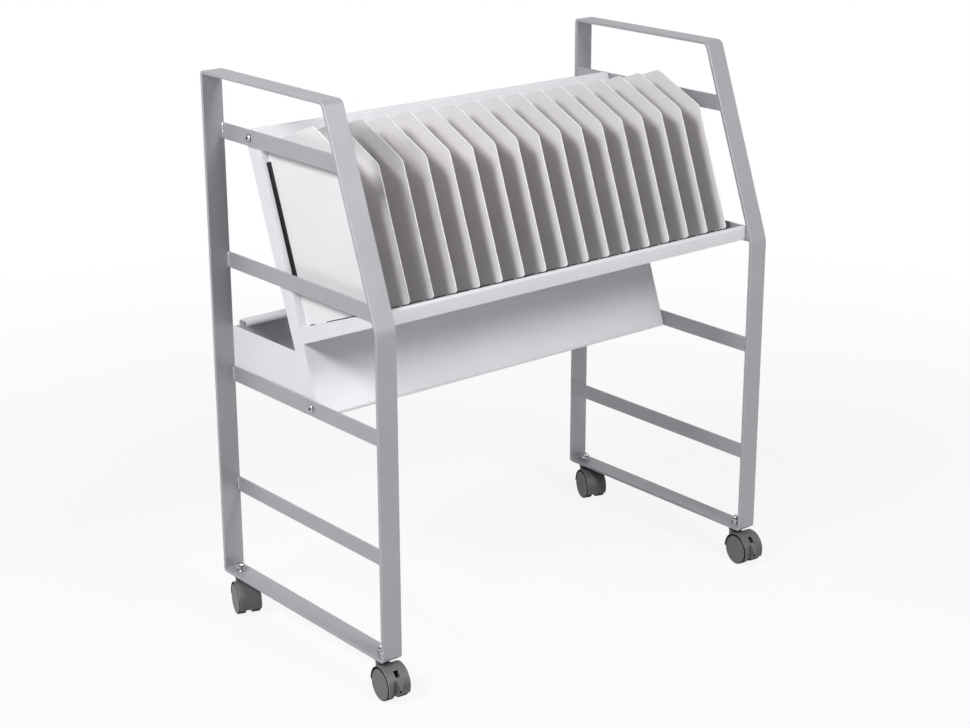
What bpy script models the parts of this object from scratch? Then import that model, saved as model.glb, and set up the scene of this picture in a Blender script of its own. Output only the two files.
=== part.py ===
"""Open charging cart with a tilted sixteen-bay rack on four twin-wheel casters.

Two loops of flat bar, each tied by four rungs, carry a bent sheet tray between them.
The tray leans back, holds seventeen divider plates by tabs in slots, and runs on below
into a trough for chargers. X runs along the cart, -Y is the loading side and +Z is up.
"""

import math

import bmesh
import bpy
import numpy as np
from mathutils import Matrix, Vector

MM = 0.001

# Frame loops
FRAME_WIDTH = 787 * MM
FRAME_DEPTH = 428 * MM
FRAME_HEIGHT = 815 * MM
BAR_WIDTH = 35 * MM
BAR_THICKNESS = 5 * MM
BAR_EDGE = 0.8 * MM
KNEE_HEIGHT = 506 * MM
HANDLE_SETBACK = 114 * MM
CORNER_RADIUS = 6 * MM
HANDLE_RADIUS = 12 * MM
KNEE_RADIUS = 40 * MM

# Rungs
RUNG_HEIGHT = 25 * MM
RUNG_THICKNESS = 3 * MM
RUNG_EDGE = 0.5 * MM
UPPER_RUNG_LEVEL = 708 * MM
TROUGH_RUNG_LEVEL = 320 * MM
LOW_RUNG_LEVEL = 133 * MM

# Tray sheet
TRAY_TILT = math.radians(20)
SHEET = 1.5 * MM
SHEET_BEND = 2.5 * MM
PANEL_SETBACK = 188.4 * MM
PANEL_HEIGHT = 304 * MM
PANEL_RETURN = 12 * MM
LIP_SETBACK = 15 * MM
LIP_HEIGHT = 22 * MM
END_PLATE = 1.5 * MM
END_BAND = 23 * MM
END_STRIP = 26 * MM
END_FLANGE = 20 * MM
PLATE_CORNER = 5 * MM

# Trough
TROUGH_REAR_SETBACK = 21 * MM
TROUGH_SIDE_HEIGHT = 91 * MM
TROUGH_REAR_HEIGHT = 104 * MM
TROUGH_END_SETBACK = 4 * MM
HEM_DEPTH = 20 * MM
HEM_DROP = 6 * MM

# Dividers
DIVIDER_COUNT = 17
END_BAY_WIDTH = 14.5 * MM
DIVIDER_THICKNESS = 1.5 * MM
DIVIDER_SETBACK = 28 * MM
DIVIDER_HEIGHT = 280.5 * MM
DIVIDER_CHAMFER = 75 * MM
DIVIDER_CORNER = 14 * MM
DIVIDER_FOOT_CORNER = 4.5 * MM
TAB_DEPTH = 3.5 * MM
REAR_TAB_START = 23.5 * MM
REAR_TAB_LENGTH = 31.5 * MM
FRONT_TAB_INSET = 22 * MM
FRONT_TAB_LENGTH = 5.5 * MM
PANEL_TAB_LENGTH = 18 * MM
PANEL_TAB_LOW = 24 * MM
PANEL_TAB_HIGH = 258 * MM
FOOT_RELIEF = 3 * MM
FOOT_RELIEF_START = 8.5 * MM
CABLE_SLOT_WIDTH = 12 * MM
CABLE_SLOT_LENGTH = 186 * MM
CABLE_SLOT_LEVEL = 66 * MM
CABLE_RELIEF = 6 * MM

# Tray bolts
BOLT_DIAMETER = 6 * MM
BOLT_HEAD_DIAMETER = 11.5 * MM
BOLT_HEAD_HEIGHT = 3.3 * MM
BOLT_SOCKET = 4 * MM
BOLT_SOCKET_DEPTH = 2 * MM
BOLT_NUT_SIZE = 10 * MM
BOLT_NUT_HEIGHT = 5 * MM
BOLT_TAIL = 2 * MM

# Casters
FRONT_CASTER_TURN = math.radians(-7)
REAR_CASTER_TURN = math.radians(-18)
STEM_SETBACK = 25 * MM
STEM_DIAMETER = 8 * MM
STEM_GRIP = 24 * MM
STEM_REACH_IN_NUT = 9 * MM
COLLAR_DIAMETER = 23 * MM
COLLAR_HEIGHT = 4.4 * MM
WHEEL_DIAMETER = 50 * MM
WHEEL_WIDTH = 12.5 * MM
WHEEL_EDGE = 1 * MM
WHEEL_POCKET_DEPTH = 7.5 * MM
WHEEL_RIM = 4.5 * MM
WHEEL_HUB_DIAMETER = 13 * MM
WHEEL_DISC_DISH = 0.8 * MM
AXLE_DIAMETER = 6 * MM
AXLE_REACH = 9 * MM
TRAIL = 23 * MM
HOOD_WALL = 1.2 * MM
HOOD_EDGE = 0.5 * MM
HOOD_WEB = 11.4 * MM
NECK_DIAMETER = 21 * MM
HOOD_FRONT_REACH = math.radians(-24)
HOOD_REAR_REACH = math.radians(-3)

# Brake levers
LEVER_WIDTH = 7.6 * MM
LEVER_THICKNESS = 4.5 * MM
LEVER_TOE = 1.2 * MM
LEVER_PIVOT_ANGLE = math.radians(33)
LEVER_BLADE_END_ANGLE = math.radians(4)
LEVER_TOE_START_ANGLE = math.radians(-2)
LEVER_END_ANGLE = math.radians(-7)
LEVER_SLOT_TOP = math.radians(60)
LEVER_SLOT_BOTTOM = math.radians(-17)
LEVER_STROKE = 8 * MM

# Cap nuts
NUT_SIZE = 13 * MM
NUT_HEX_HEIGHT = 6 * MM
NUT_DOME_DIAMETER = 12 * MM
WASHER_DIAMETER = 15.6 * MM
WASHER_HEIGHT = 1.5 * MM

# Fits
GAP = 0.3 * MM
BORE_CLEARANCE = 0.3 * MM
RUNNING_CLEARANCE = 1.8 * MM
OVERRUN = 5 * MM

# Facets
BEND_STEPS = 3
ROUND_STEPS = 20
SMALL_ROUND_STEPS = 12
HEX_SIDES = 6
SMOOTH_ANGLE = math.radians(35)

# Worked out from the sizes above
WHEEL_RADIUS = WHEEL_DIAMETER / 2
HOOD_RADIUS = WHEEL_RADIUS + RUNNING_CLEARANCE + HOOD_WALL
HOOD_TOP = WHEEL_RADIUS + HOOD_RADIUS
BAR_UNDERSIDE = HOOD_TOP + GAP + COLLAR_HEIGHT + GAP
INNER_FACE = FRAME_WIDTH / 2 - BAR_WIDTH
RUNG_CENTRE_X = INNER_FACE + RUNG_THICKNESS / 2
PLATE_OUTER_X = INNER_FACE - GAP
SHEET_END_X = PLATE_OUTER_X - END_PLATE - GAP
LIP_TOP = KNEE_HEIGHT + RUNG_HEIGHT
SHELF_DEPTH = (FRAME_DEPTH - PANEL_SETBACK - LIP_SETBACK) / math.cos(TRAY_TILT)
TRAY_CORNER = (FRAME_DEPTH - PANEL_SETBACK, LIP_TOP - SHELF_DEPTH * math.sin(TRAY_TILT))
TROUGH_FLOOR = TROUGH_RUNG_LEVEL
TROUGH_REAR_DEPTH = FRAME_DEPTH - TROUGH_REAR_SETBACK
TROUGH_END_DEPTH = FRAME_DEPTH - TROUGH_END_SETBACK
DIVIDER_PITCH = 2 * (INNER_FACE - END_BAY_WIDTH) / (DIVIDER_COUNT - 1)
DIVIDER_DEPTH = SHELF_DEPTH - DIVIDER_SETBACK
FRONT_TAB_START = DIVIDER_DEPTH - FRONT_TAB_INSET - FRONT_TAB_LENGTH
BOLT_INSET = END_STRIP / 2
STEM_X = FRAME_WIDTH / 2 - BAR_WIDTH / 2
WHEEL_INNER_X = HOOD_WEB / 2 + BORE_CLEARANCE
WHEEL_OUTER_X = WHEEL_INNER_X + WHEEL_WIDTH
LEVER_OUTER_RADIUS = HOOD_RADIUS - GAP
LEVER_INNER_RADIUS = LEVER_OUTER_RADIUS - LEVER_THICKNESS
LEVER_PIVOT_RADIUS = LEVER_OUTER_RADIUS - LEVER_THICKNESS / 2
LEVER_SLOT_RADIUS = LEVER_INNER_RADIUS - LEVER_STROKE

FINISHES = {
    "frame_paint": ((0.36, 0.365, 0.395), 0.42, 0.35),
    "tray_paint": ((0.80, 0.80, 0.83), 0.45, 0.0),
    "caster_plastic": ((0.20, 0.20, 0.22), 0.5, 0.0),
    "wheel_plastic": ((0.22, 0.22, 0.24), 0.5, 0.0),
    "dark_plastic": ((0.02, 0.02, 0.022), 0.45, 0.0),
    "steel": ((0.55, 0.55, 0.56), 0.25, 1.0),
    "chrome": ((0.75, 0.75, 0.76), 0.12, 1.0),
}


def clear_scene():
    """Remove what a new file starts with."""
    for existing in list(bpy.data.objects):
        bpy.data.objects.remove(existing)


def finish(name):
    """Return the named material, made on first use."""
    material = bpy.data.materials.get(name)
    if material is None:
        colour, roughness, metallic = FINISHES[name]
        material = bpy.data.materials.new(name)
        material.use_nodes = True
        shader = material.node_tree.nodes["Principled BSDF"]
        shader.inputs["Base Color"].default_value = (*colour, 1)
        shader.inputs["Roughness"].default_value = roughness
        shader.inputs["Metallic"].default_value = metallic
    return material


def make_object(name, mesh, material=None, parent=None):
    """Link a mesh as an object, give it its finish and hang it on its parent."""
    made = bpy.data.objects.new(name, mesh)
    bpy.context.collection.objects.link(made)
    if material:
        mesh.materials.clear()
        mesh.materials.append(finish(material))
    made.parent = parent
    return made


def settled_mesh(body):
    """Return the mesh that an object's modifiers give."""
    bpy.context.view_layer.update()
    depsgraph = bpy.context.evaluated_depsgraph_get()
    return bpy.data.meshes.new_from_object(body.evaluated_get(depsgraph))


def combined(body_mesh, tool_meshes, operation):
    """Return the body cut or joined with each tool mesh in turn."""
    body = make_object("body", body_mesh)
    tools = [make_object("tool", mesh) for mesh in tool_meshes]
    for tool in tools:
        modifier = body.modifiers.new("shape", "BOOLEAN")
        modifier.operation = operation
        modifier.solver = "EXACT"
        modifier.object = tool
    mesh = settled_mesh(body)
    for helper in [body, *tools]:
        bpy.data.objects.remove(helper)
    return mesh


def bevelled(mesh, width, segments=1):
    """Return a mesh with its sharp edges rounded over."""
    body = make_object("body", mesh)
    modifier = body.modifiers.new("edges", "BEVEL")
    modifier.width = width
    modifier.segments = segments
    modifier.limit_method = "ANGLE"
    modifier.angle_limit = SMOOTH_ANGLE
    result = settled_mesh(body)
    bpy.data.objects.remove(body)
    return result


def smooth(mesh):
    """Shade a mesh smooth but for its sharp edges."""
    mesh.shade_smooth()
    mesh.set_sharp_from_angle(angle=SMOOTH_ANGLE)
    return mesh


def mesh_of(vertices, faces):
    """Return a mesh of the given corners and faces, facing out."""
    mesh = bpy.data.meshes.new("mesh")
    mesh.from_pydata(vertices, [], faces)
    shape = bmesh.new()
    shape.from_mesh(mesh)
    bmesh.ops.recalc_face_normals(shape, faces=shape.faces)
    shape.to_mesh(mesh)
    shape.free()
    return mesh


def prism(outline, start_x, end_x):
    """Return an outline of (y, z) points drawn out along X."""
    count = len(outline)
    vertices = [(x, y, z) for x in (start_x, end_x) for y, z in outline]
    sides = [(i, (i + 1) % count, count + (i + 1) % count, count + i) for i in range(count)]
    caps = [tuple(range(count)), tuple(range(count, 2 * count))]
    return mesh_of(vertices, sides + caps)


def hollow_prism(outer, inner, start_x, end_x):
    """Return the band between two outlines with equally many points, drawn out along X."""
    count = len(outer)
    vertices = [(x, y, z) for x in (start_x, end_x) for loop in (outer, inner) for y, z in loop]
    faces = []
    for i in range(count):
        j = (i + 1) % count
        for first, second in ((0, count), (count, 3 * count), (3 * count, 2 * count), (2 * count, 0)):
            faces.append((first + i, first + j, second + j, second + i))
    return mesh_of(vertices, faces)


def turned(profile, steps):
    """Return a closed (radius, height) profile turned about Z."""
    shape = bmesh.new()
    corners = [shape.verts.new((radius, 0, height)) for radius, height in profile]
    edges = [shape.edges.new((a, b)) for a, b in zip(corners, corners[1:])]
    bmesh.ops.spin(shape, geom=corners + edges, axis=(0, 0, 1), cent=(0, 0, 0),
                   angle=math.tau, steps=steps, use_merge=True)
    bmesh.ops.remove_doubles(shape, verts=shape.verts, dist=GAP / 100)
    bmesh.ops.recalc_face_normals(shape, faces=shape.faces)
    mesh = bpy.data.meshes.new("turned")
    shape.to_mesh(mesh)
    shape.free()
    return mesh


def cylinder(radius, low, high, steps):
    """Return a plain cylinder about Z."""
    return turned([(0, low), (radius, low), (radius, high), (0, high)], steps)


def along_x(mesh, centre=(0, 0), start_x=0.0, direction=1):
    """Lay a mesh made about Z along X, through a (y, z) centre."""
    turn = Matrix.Rotation(direction * math.pi / 2, 4, "Y")
    mesh.transform(Matrix.Translation((start_x, *centre)) @ turn)
    return mesh


def moved(mesh, x=0.0, y=0.0, z=0.0):
    """Shift a mesh."""
    mesh.transform(Matrix.Translation((x, y, z)))
    return mesh


def joined(meshes):
    """Return one mesh that holds several separate closed shapes."""
    shape = bmesh.new()
    for mesh in meshes:
        shape.from_mesh(mesh)
    result = bpy.data.meshes.new("joined")
    shape.to_mesh(result)
    shape.free()
    return result


def rounded_path(points, radii, closed=False):
    """Return (point, left normal) pairs along a path whose corners are arcs."""
    count = len(points)
    corners = [Vector(point) for point in points]
    samples = []
    for i, corner in enumerate(corners):
        before = corner - corners[i - 1]
        after = corners[(i + 1) % count] - corner
        if not closed and i in (0, count - 1):
            along = (after if i == 0 else before).normalized()
            samples.append((corner, Vector((-along.y, along.x))))
            continue
        before.normalize()
        after.normalize()
        turn = math.atan2(before.x * after.y - before.y * after.x, before.dot(after))
        side = math.copysign(1, turn)
        start = corner - before * radii[i] * math.tan(abs(turn) / 2)
        normal = Vector((-before.y, before.x))
        centre = start + normal * side * radii[i]
        for step in range(BEND_STEPS + 1):
            here = normal.copy()
            here.rotate(Matrix.Rotation(turn * step / BEND_STEPS, 2))
            samples.append((centre - here * side * radii[i], here))
    return samples


def sheet_outline(points, radii, thickness):
    """Return the outline of a sheet whose one face follows the path, on its left side."""
    samples = rounded_path(points, radii)
    face = [point for point, normal in samples]
    back = [point + normal * thickness for point, normal in samples]
    return face + back[::-1]


def rounded_outline(points, radii):
    """Return a closed outline with its corners rounded."""
    return [point for point, normal in rounded_path(points, radii, closed=True)]


def seat(depth, height):
    """Turn a depth behind the front face and a height above the bottom bar into (y, z)."""
    return depth - FRAME_DEPTH / 2, BAR_UNDERSIDE + height


def on_tray(forward, upward):
    """Turn distances from the tray's inner corner, along shelf and panel, into (y, z)."""
    depth = TRAY_CORNER[0] - forward * math.cos(TRAY_TILT) + upward * math.sin(TRAY_TILT)
    height = TRAY_CORNER[1] + forward * math.sin(TRAY_TILT) + upward * math.cos(TRAY_TILT)
    return seat(depth, height)


def panel_line(forward, height):
    """Return the (y, z) point at a height on the line parallel to the back panel."""
    rise = height - TRAY_CORNER[1] - forward * math.sin(TRAY_TILT)
    return on_tray(forward, rise / math.cos(TRAY_TILT))


def loop_corners():
    """Return the outer corners of a frame loop, from the back foot over the handle."""
    return [seat(FRAME_DEPTH, 0), seat(FRAME_DEPTH, FRAME_HEIGHT), seat(HANDLE_SETBACK, FRAME_HEIGHT),
            seat(0, KNEE_HEIGHT), seat(0, 0)]


def loop_path():
    """Return (point, inward normal) pairs round a frame loop, with its bends as arcs."""
    radii = [CORNER_RADIUS, CORNER_RADIUS, HANDLE_RADIUS, KNEE_RADIUS, CORNER_RADIUS]
    return rounded_path(loop_corners(), radii, closed=True)


def stem_places():
    """Return the caster stems' (x, y) places with the turn at which each caster rests."""
    front = seat(STEM_SETBACK, 0)[0]
    rear = seat(FRAME_DEPTH - STEM_SETBACK, 0)[0]
    return {
        "front_left": (-STEM_X, front, FRONT_CASTER_TURN),
        "front_right": (STEM_X, front, FRONT_CASTER_TURN),
        "rear_left": (-STEM_X, rear, REAR_CASTER_TURN),
        "rear_right": (STEM_X, rear, REAR_CASTER_TURN),
    }


def rung_levels():
    """Return the bottom edge of each rung above the bottom bar."""
    return {
        "upper": UPPER_RUNG_LEVEL,
        "knee": KNEE_HEIGHT,
        "trough": TROUGH_RUNG_LEVEL,
        "low": LOW_RUNG_LEVEL,
    }


def bolt_places():
    """Return the (y, z) place of the bolt in each bolted rung."""
    levels = rung_levels()
    return {name: panel_line(-BOLT_INSET, levels[name] + RUNG_HEIGHT / 2) for name in ("upper", "trough")}


def make_frame_loops():
    """Make the bent flat-bar loop at each end, with its two stem holes."""
    outer = [point for point, normal in loop_path()]
    inner = [point + normal * BAR_THICKNESS for point, normal in loop_path()]
    for side, name in ((-1, "left"), (1, "right")):
        bar = hollow_prism(outer, inner, side * INNER_FACE, side * FRAME_WIDTH / 2)
        bar = bevelled(bar, BAR_EDGE)
        low = BAR_UNDERSIDE - OVERRUN
        high = BAR_UNDERSIDE + BAR_THICKNESS + OVERRUN
        radius = STEM_DIAMETER / 2 + BORE_CLEARANCE
        drills = [moved(cylinder(radius, low, high, SMALL_ROUND_STEPS), x, y)
                  for x, y, turn in stem_places().values() if x * side > 0]
        bar = combined(bar, [joined(drills)], "DIFFERENCE")
        make_object(f"frame_loop_{name}", smooth(bar), "frame_paint")


def rung_front(level):
    """Return the (y, z) points along which a rung stands off the front bar's inner side."""
    front_bends = loop_path()[2 * (BEND_STEPS + 1):]
    line = [point + normal * (BAR_THICKNESS + GAP) for point, normal in reversed(front_bends)]
    depths, heights = zip(*line)
    low = seat(0, level)[1]
    high = seat(0, level + RUNG_HEIGHT)[1]
    wanted = [low, *(height for height in heights if low < height < high), high]
    return [(float(np.interp(height, heights, depths)), height) for height in wanted]


def make_rungs():
    """Make the flat bars on edge that cross each loop, level with its inner side."""
    back = FRAME_DEPTH - BAR_THICKNESS - GAP
    half = RUNG_THICKNESS / 2
    for side, side_name in ((-1, "left"), (1, "right")):
        for name, level in rung_levels().items():
            outline = rung_front(level) + [seat(back, level + RUNG_HEIGHT), seat(back, level)]
            bar = prism(outline, side * RUNG_CENTRE_X - half, side * RUNG_CENTRE_X + half)
            bar = bevelled(bar, RUNG_EDGE)
            if name in bolt_places():
                bar = combined(bar, [bolt_drill(bolt_places()[name], side)], "DIFFERENCE")
            make_object(f"rung_{side_name}_{name}", bar, "frame_paint")


def bolt_drill(place, side):
    """Return the cutter for a bolt hole through rung and end plate."""
    drill = cylinder(BOLT_DIAMETER / 2 + BORE_CLEARANCE, 0, 2 * BAR_WIDTH, SMALL_ROUND_STEPS)
    return along_x(drill, place, side * (INNER_FACE - BAR_WIDTH), side)


def tray_outline():
    """Return the side view of the tray sheet: lip, shelf, back panel and return."""
    lip_y, lip_z = on_tray(SHELF_DEPTH, 0)
    path = [(lip_y, lip_z - LIP_HEIGHT), (lip_y, lip_z), on_tray(0, 0), on_tray(0, PANEL_HEIGHT),
            on_tray(-PANEL_RETURN, PANEL_HEIGHT)]
    return sheet_outline(path, [0, SHEET_BEND, SHEET_BEND, SHEET_BEND + SHEET, 0], -SHEET)


def trough_outline():
    """Return the side view of the trough: front wall, floor, rear wall and hemmed rim."""
    floor = TROUGH_FLOOR
    rim = TROUGH_FLOOR + TROUGH_REAR_HEIGHT
    path = [on_tray(-SHEET / 2, SHEET_BEND), panel_line(0, floor), seat(TROUGH_REAR_DEPTH, floor),
            seat(TROUGH_REAR_DEPTH, rim), seat(TROUGH_REAR_DEPTH - HEM_DEPTH, rim),
            seat(TROUGH_REAR_DEPTH - HEM_DEPTH, rim - HEM_DROP)]
    bend = SHEET_BEND + SHEET
    return sheet_outline(path, [0, bend, bend, bend, bend, 0], SHEET)


def divider_centres():
    """Return the X place of each divider."""
    middle = (DIVIDER_COUNT - 1) / 2
    return [(i - middle) * DIVIDER_PITCH for i in range(DIVIDER_COUNT)]


def tray_box(half_x, centre_x, low, high):
    """Return a cutter square to the tray between two (forward, upward) corners."""
    outline = [on_tray(*low), on_tray(high[0], low[1]), on_tray(*high), on_tray(low[0], high[1])]
    return prism(outline, centre_x - half_x, centre_x + half_x)


def foot_tabs():
    """Return where a divider's rear and front foot tabs start and end, forward of the panel."""
    return [(REAR_TAB_START, REAR_TAB_START + REAR_TAB_LENGTH),
            (FRONT_TAB_START, FRONT_TAB_START + FRONT_TAB_LENGTH)]


def tray_slots():
    """Return the cutters for the tab slots and the cable slots beside every divider."""
    tab_half = DIVIDER_THICKNESS / 2 + GAP
    cutters = []
    for x in divider_centres():
        for start, end in foot_tabs():
            cutters.append(tray_box(tab_half, x, (start - GAP, -OVERRUN), (end + GAP, OVERRUN)))
        for start in (PANEL_TAB_LOW, PANEL_TAB_HIGH):
            end = start + PANEL_TAB_LENGTH + GAP
            cutters.append(tray_box(tab_half, x, (-OVERRUN, start - GAP), (OVERRUN, end)))
        slot_top = CABLE_SLOT_LEVEL + CABLE_SLOT_LENGTH
        cutters.append(tray_box(CABLE_SLOT_WIDTH / 2, x, (-OVERRUN, CABLE_SLOT_LEVEL), (OVERRUN, slot_top)))
    return joined(cutters)


def make_tray():
    """Make the tray with its trough as one welded sheet part, then pierce its slots."""
    tray = prism(tray_outline(), -SHEET_END_X, SHEET_END_X)
    trough = prism(trough_outline(), -SHEET_END_X, SHEET_END_X)
    whole = combined(tray, [trough], "UNION")
    whole = combined(whole, [tray_slots()], "DIFFERENCE")
    make_object("tray_sheet", whole, "tray_paint")


def end_plate_outline():
    """Return the side view of the plate that closes shelf, panel and trough at one end."""
    top = TROUGH_FLOOR + TROUGH_SIDE_HEIGHT
    lip_y, lip_z = on_tray(SHELF_DEPTH, 0)
    plate_front = on_tray(SHELF_DEPTH - SHEET, 0)
    band_front = (lip_y + END_BAND / 2, lip_z - END_BAND)
    points = [plate_front, on_tray(0, 0), on_tray(0, PANEL_HEIGHT), on_tray(-END_STRIP, PANEL_HEIGHT),
              panel_line(-END_STRIP, top), seat(TROUGH_END_DEPTH, top), seat(TROUGH_END_DEPTH, TROUGH_FLOOR),
              panel_line(0, TROUGH_FLOOR), on_tray(0, -END_BAND), band_front, (lip_y, lip_z - LIP_HEIGHT)]
    soft = PLATE_CORNER
    radii = [SHEET, SHEET, SHEET, soft, SHEET, SHEET, SHEET, soft, SHEET, soft, SHEET]
    return rounded_outline(points, radii)


def end_flange(side):
    """Return the flange bent inward from the end plate's rear edge."""
    low = seat(TROUGH_END_DEPTH - END_PLATE, TROUGH_FLOOR + SHEET)
    high = seat(TROUGH_END_DEPTH, TROUGH_FLOOR + TROUGH_SIDE_HEIGHT - SHEET)
    outline = [low, (high[0], low[1]), high, (low[0], high[1])]
    return prism(outline, side * (PLATE_OUTER_X - END_FLANGE), side * (PLATE_OUTER_X - END_PLATE / 2))


def make_end_plates():
    """Make the plate at each end of the tray, with its rear flange and two bolt holes."""
    for side, name in ((-1, "left"), (1, "right")):
        inner = side * (PLATE_OUTER_X - END_PLATE)
        plate = prism(end_plate_outline(), inner, side * PLATE_OUTER_X)
        plate = combined(plate, [end_flange(side)], "UNION")
        drills = joined([bolt_drill(place, side) for place in bolt_places().values()])
        plate = combined(plate, [drills], "DIFFERENCE")
        make_object(f"end_plate_{name}", plate, "tray_paint")


def divider_outline():
    """Return the side view of a divider: foot tabs, cut-off corner, rear tabs and relief."""
    bottom = [on_tray(FOOT_RELIEF_START, GAP), on_tray(FOOT_RELIEF_START, FOOT_RELIEF)]
    for start, end in foot_tabs():
        bottom += [on_tray(start, FOOT_RELIEF), on_tray(start, -TAB_DEPTH)]
        bottom += [on_tray(end, -TAB_DEPTH), on_tray(end, FOOT_RELIEF)]
    nose = rounded_path([on_tray(DIVIDER_DEPTH - DIVIDER_CHAMFER, FOOT_RELIEF),
                         on_tray(DIVIDER_DEPTH, FOOT_RELIEF),
                         on_tray(DIVIDER_DEPTH, DIVIDER_HEIGHT - DIVIDER_CHAMFER),
                         on_tray(DIVIDER_DEPTH - DIVIDER_CHAMFER, DIVIDER_HEIGHT),
                         on_tray(GAP, DIVIDER_HEIGHT),
                         on_tray(GAP, 0)],
                        [0, DIVIDER_FOOT_CORNER, DIVIDER_CORNER, DIVIDER_CORNER, DIVIDER_FOOT_CORNER, 0])
    front = [point for point, normal in nose[1:-1]]
    low_tab = (PANEL_TAB_LOW, PANEL_TAB_LOW + PANEL_TAB_LENGTH)
    high_tab = (PANEL_TAB_HIGH, PANEL_TAB_HIGH + PANEL_TAB_LENGTH)
    slot = (CABLE_SLOT_LEVEL, CABLE_SLOT_LEVEL + CABLE_SLOT_LENGTH)
    rear = []
    for (start, end), depth in ((high_tab, -TAB_DEPTH), (slot, CABLE_RELIEF), (low_tab, -TAB_DEPTH)):
        rear += [on_tray(GAP, end), on_tray(depth, end), on_tray(depth, start), on_tray(GAP, start)]
    bend = SHEET_BEND + GAP
    return bottom + front + rear + [on_tray(GAP, bend), on_tray(bend, GAP)]


def make_dividers():
    """Make the row of upright divider plates, which share one mesh."""
    half = DIVIDER_THICKNESS / 2
    plate = prism(divider_outline(), -half, half)
    for number, x in enumerate(divider_centres(), start=1):
        divider = make_object(f"divider_{number:02d}", plate, "tray_paint")
        divider.location.x = x


def make_tray_bolts():
    """Make the button-head bolts, each with its nut, that hold the tray to the rungs."""
    grip = RUNG_THICKNESS + GAP + END_PLATE + GAP
    head = BOLT_HEAD_DIAMETER / 2
    crown = head - BOLT_HEAD_HEIGHT / 2
    shank = BOLT_DIAMETER / 2
    tail = -grip - GAP - BOLT_NUT_HEIGHT - BOLT_TAIL
    profile = [(0, tail), (shank, tail), (shank, GAP), (head, GAP), (head, GAP + BOLT_HEAD_HEIGHT / 3),
               (crown, BOLT_HEAD_HEIGHT), (0, BOLT_HEAD_HEIGHT)]
    nut_radius = BOLT_NUT_SIZE / 2 / math.cos(math.pi / HEX_SIDES)
    nut = cylinder(nut_radius, -grip - BOLT_NUT_HEIGHT, -grip, HEX_SIDES)
    socket_radius = BOLT_SOCKET / 2 / math.cos(math.pi / HEX_SIDES)
    socket_floor = BOLT_HEAD_HEIGHT - BOLT_SOCKET_DEPTH
    socket = cylinder(socket_radius, socket_floor, BOLT_HEAD_HEIGHT + OVERRUN, HEX_SIDES)
    bolt = combined(turned(profile, SMALL_ROUND_STEPS), [nut], "UNION")
    bolt = smooth(combined(bolt, [socket], "DIFFERENCE"))
    for side, side_name in ((-1, "left"), (1, "right")):
        for name, (y, z) in bolt_places().items():
            placed = make_object(f"tray_bolt_{side_name}_{name}", bolt, "chrome")
            placed.location = (side * (INNER_FACE + RUNG_THICKNESS), y, z)
            placed.rotation_euler.y = side * math.pi / 2


def polar(radius, angle):
    """Return the (y, z) point about the axle, with the angle measured up from the toe side."""
    return -TRAIL - radius * math.cos(angle), WHEEL_RADIUS + radius * math.sin(angle)


def arc(radius, start, end, steps):
    """Return (y, z) points on an arc about the axle."""
    return [polar(radius, start + (end - start) * i / steps) for i in range(steps + 1)]


def hood_mesh(with_lever):
    """Return the moulded hood: shell over both wheels, web, neck, bores and lever slot."""
    shell_outline = arc(HOOD_RADIUS, HOOD_FRONT_REACH, math.pi - HOOD_REAR_REACH, ROUND_STEPS)
    shell = bevelled(prism(shell_outline, -WHEEL_OUTER_X, WHEEL_OUTER_X), HOOD_EDGE)
    neck = cylinder(NECK_DIAMETER / 2, WHEEL_RADIUS, HOOD_TOP, ROUND_STEPS)
    body = combined(shell, [neck], "UNION")
    pocket_radius = WHEEL_RADIUS + RUNNING_CLEARANCE
    pocket_end = WHEEL_OUTER_X + OVERRUN
    pockets = []
    for side in (-1, 1):
        pocket = cylinder(pocket_radius, HOOD_WEB / 2, pocket_end, ROUND_STEPS)
        pockets.append(along_x(pocket, (-TRAIL, WHEEL_RADIUS), 0, side))
    stem_floor = HOOD_TOP - STEM_GRIP - GAP
    bore = cylinder(STEM_DIAMETER / 2 + BORE_CLEARANCE, stem_floor, HOOD_TOP + OVERRUN, SMALL_ROUND_STEPS)
    axle = cylinder(AXLE_DIAMETER / 2 + BORE_CLEARANCE, -HOOD_WEB, HOOD_WEB, SMALL_ROUND_STEPS)
    cutters = [joined(pockets), bore, along_x(axle, (-TRAIL, WHEEL_RADIUS))]
    if with_lever:
        outer = arc(HOOD_RADIUS + OVERRUN, LEVER_SLOT_BOTTOM, LEVER_SLOT_TOP, SMALL_ROUND_STEPS)
        inner = arc(LEVER_SLOT_RADIUS, LEVER_SLOT_TOP, LEVER_SLOT_BOTTOM, SMALL_ROUND_STEPS)
        half = LEVER_WIDTH / 2 + BORE_CLEARANCE
        cutters.append(prism(outer + inner, -half, half))
    return smooth(combined(body, cutters, "DIFFERENCE"))


def wheel_mesh():
    """Return one wheel about Z: tread, dished outer face, open inner side and hub bore."""
    tread = WHEEL_RADIUS
    rim = WHEEL_RADIUS - WHEEL_RIM
    hub = WHEEL_HUB_DIAMETER / 2
    bore = AXLE_DIAMETER / 2 + BORE_CLEARANCE
    bore_end = AXLE_REACH + BORE_CLEARANCE
    profile = [(0, bore_end), (bore, bore_end), (bore, 0), (hub, 0), (hub, WHEEL_POCKET_DEPTH),
               (rim, WHEEL_POCKET_DEPTH), (rim, 0), (tread, 0), (tread, WHEEL_WIDTH - WHEEL_EDGE),
               (tread - WHEEL_EDGE, WHEEL_WIDTH), (0, WHEEL_WIDTH - WHEEL_DISC_DISH)]
    return smooth(turned(profile, ROUND_STEPS))


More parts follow.
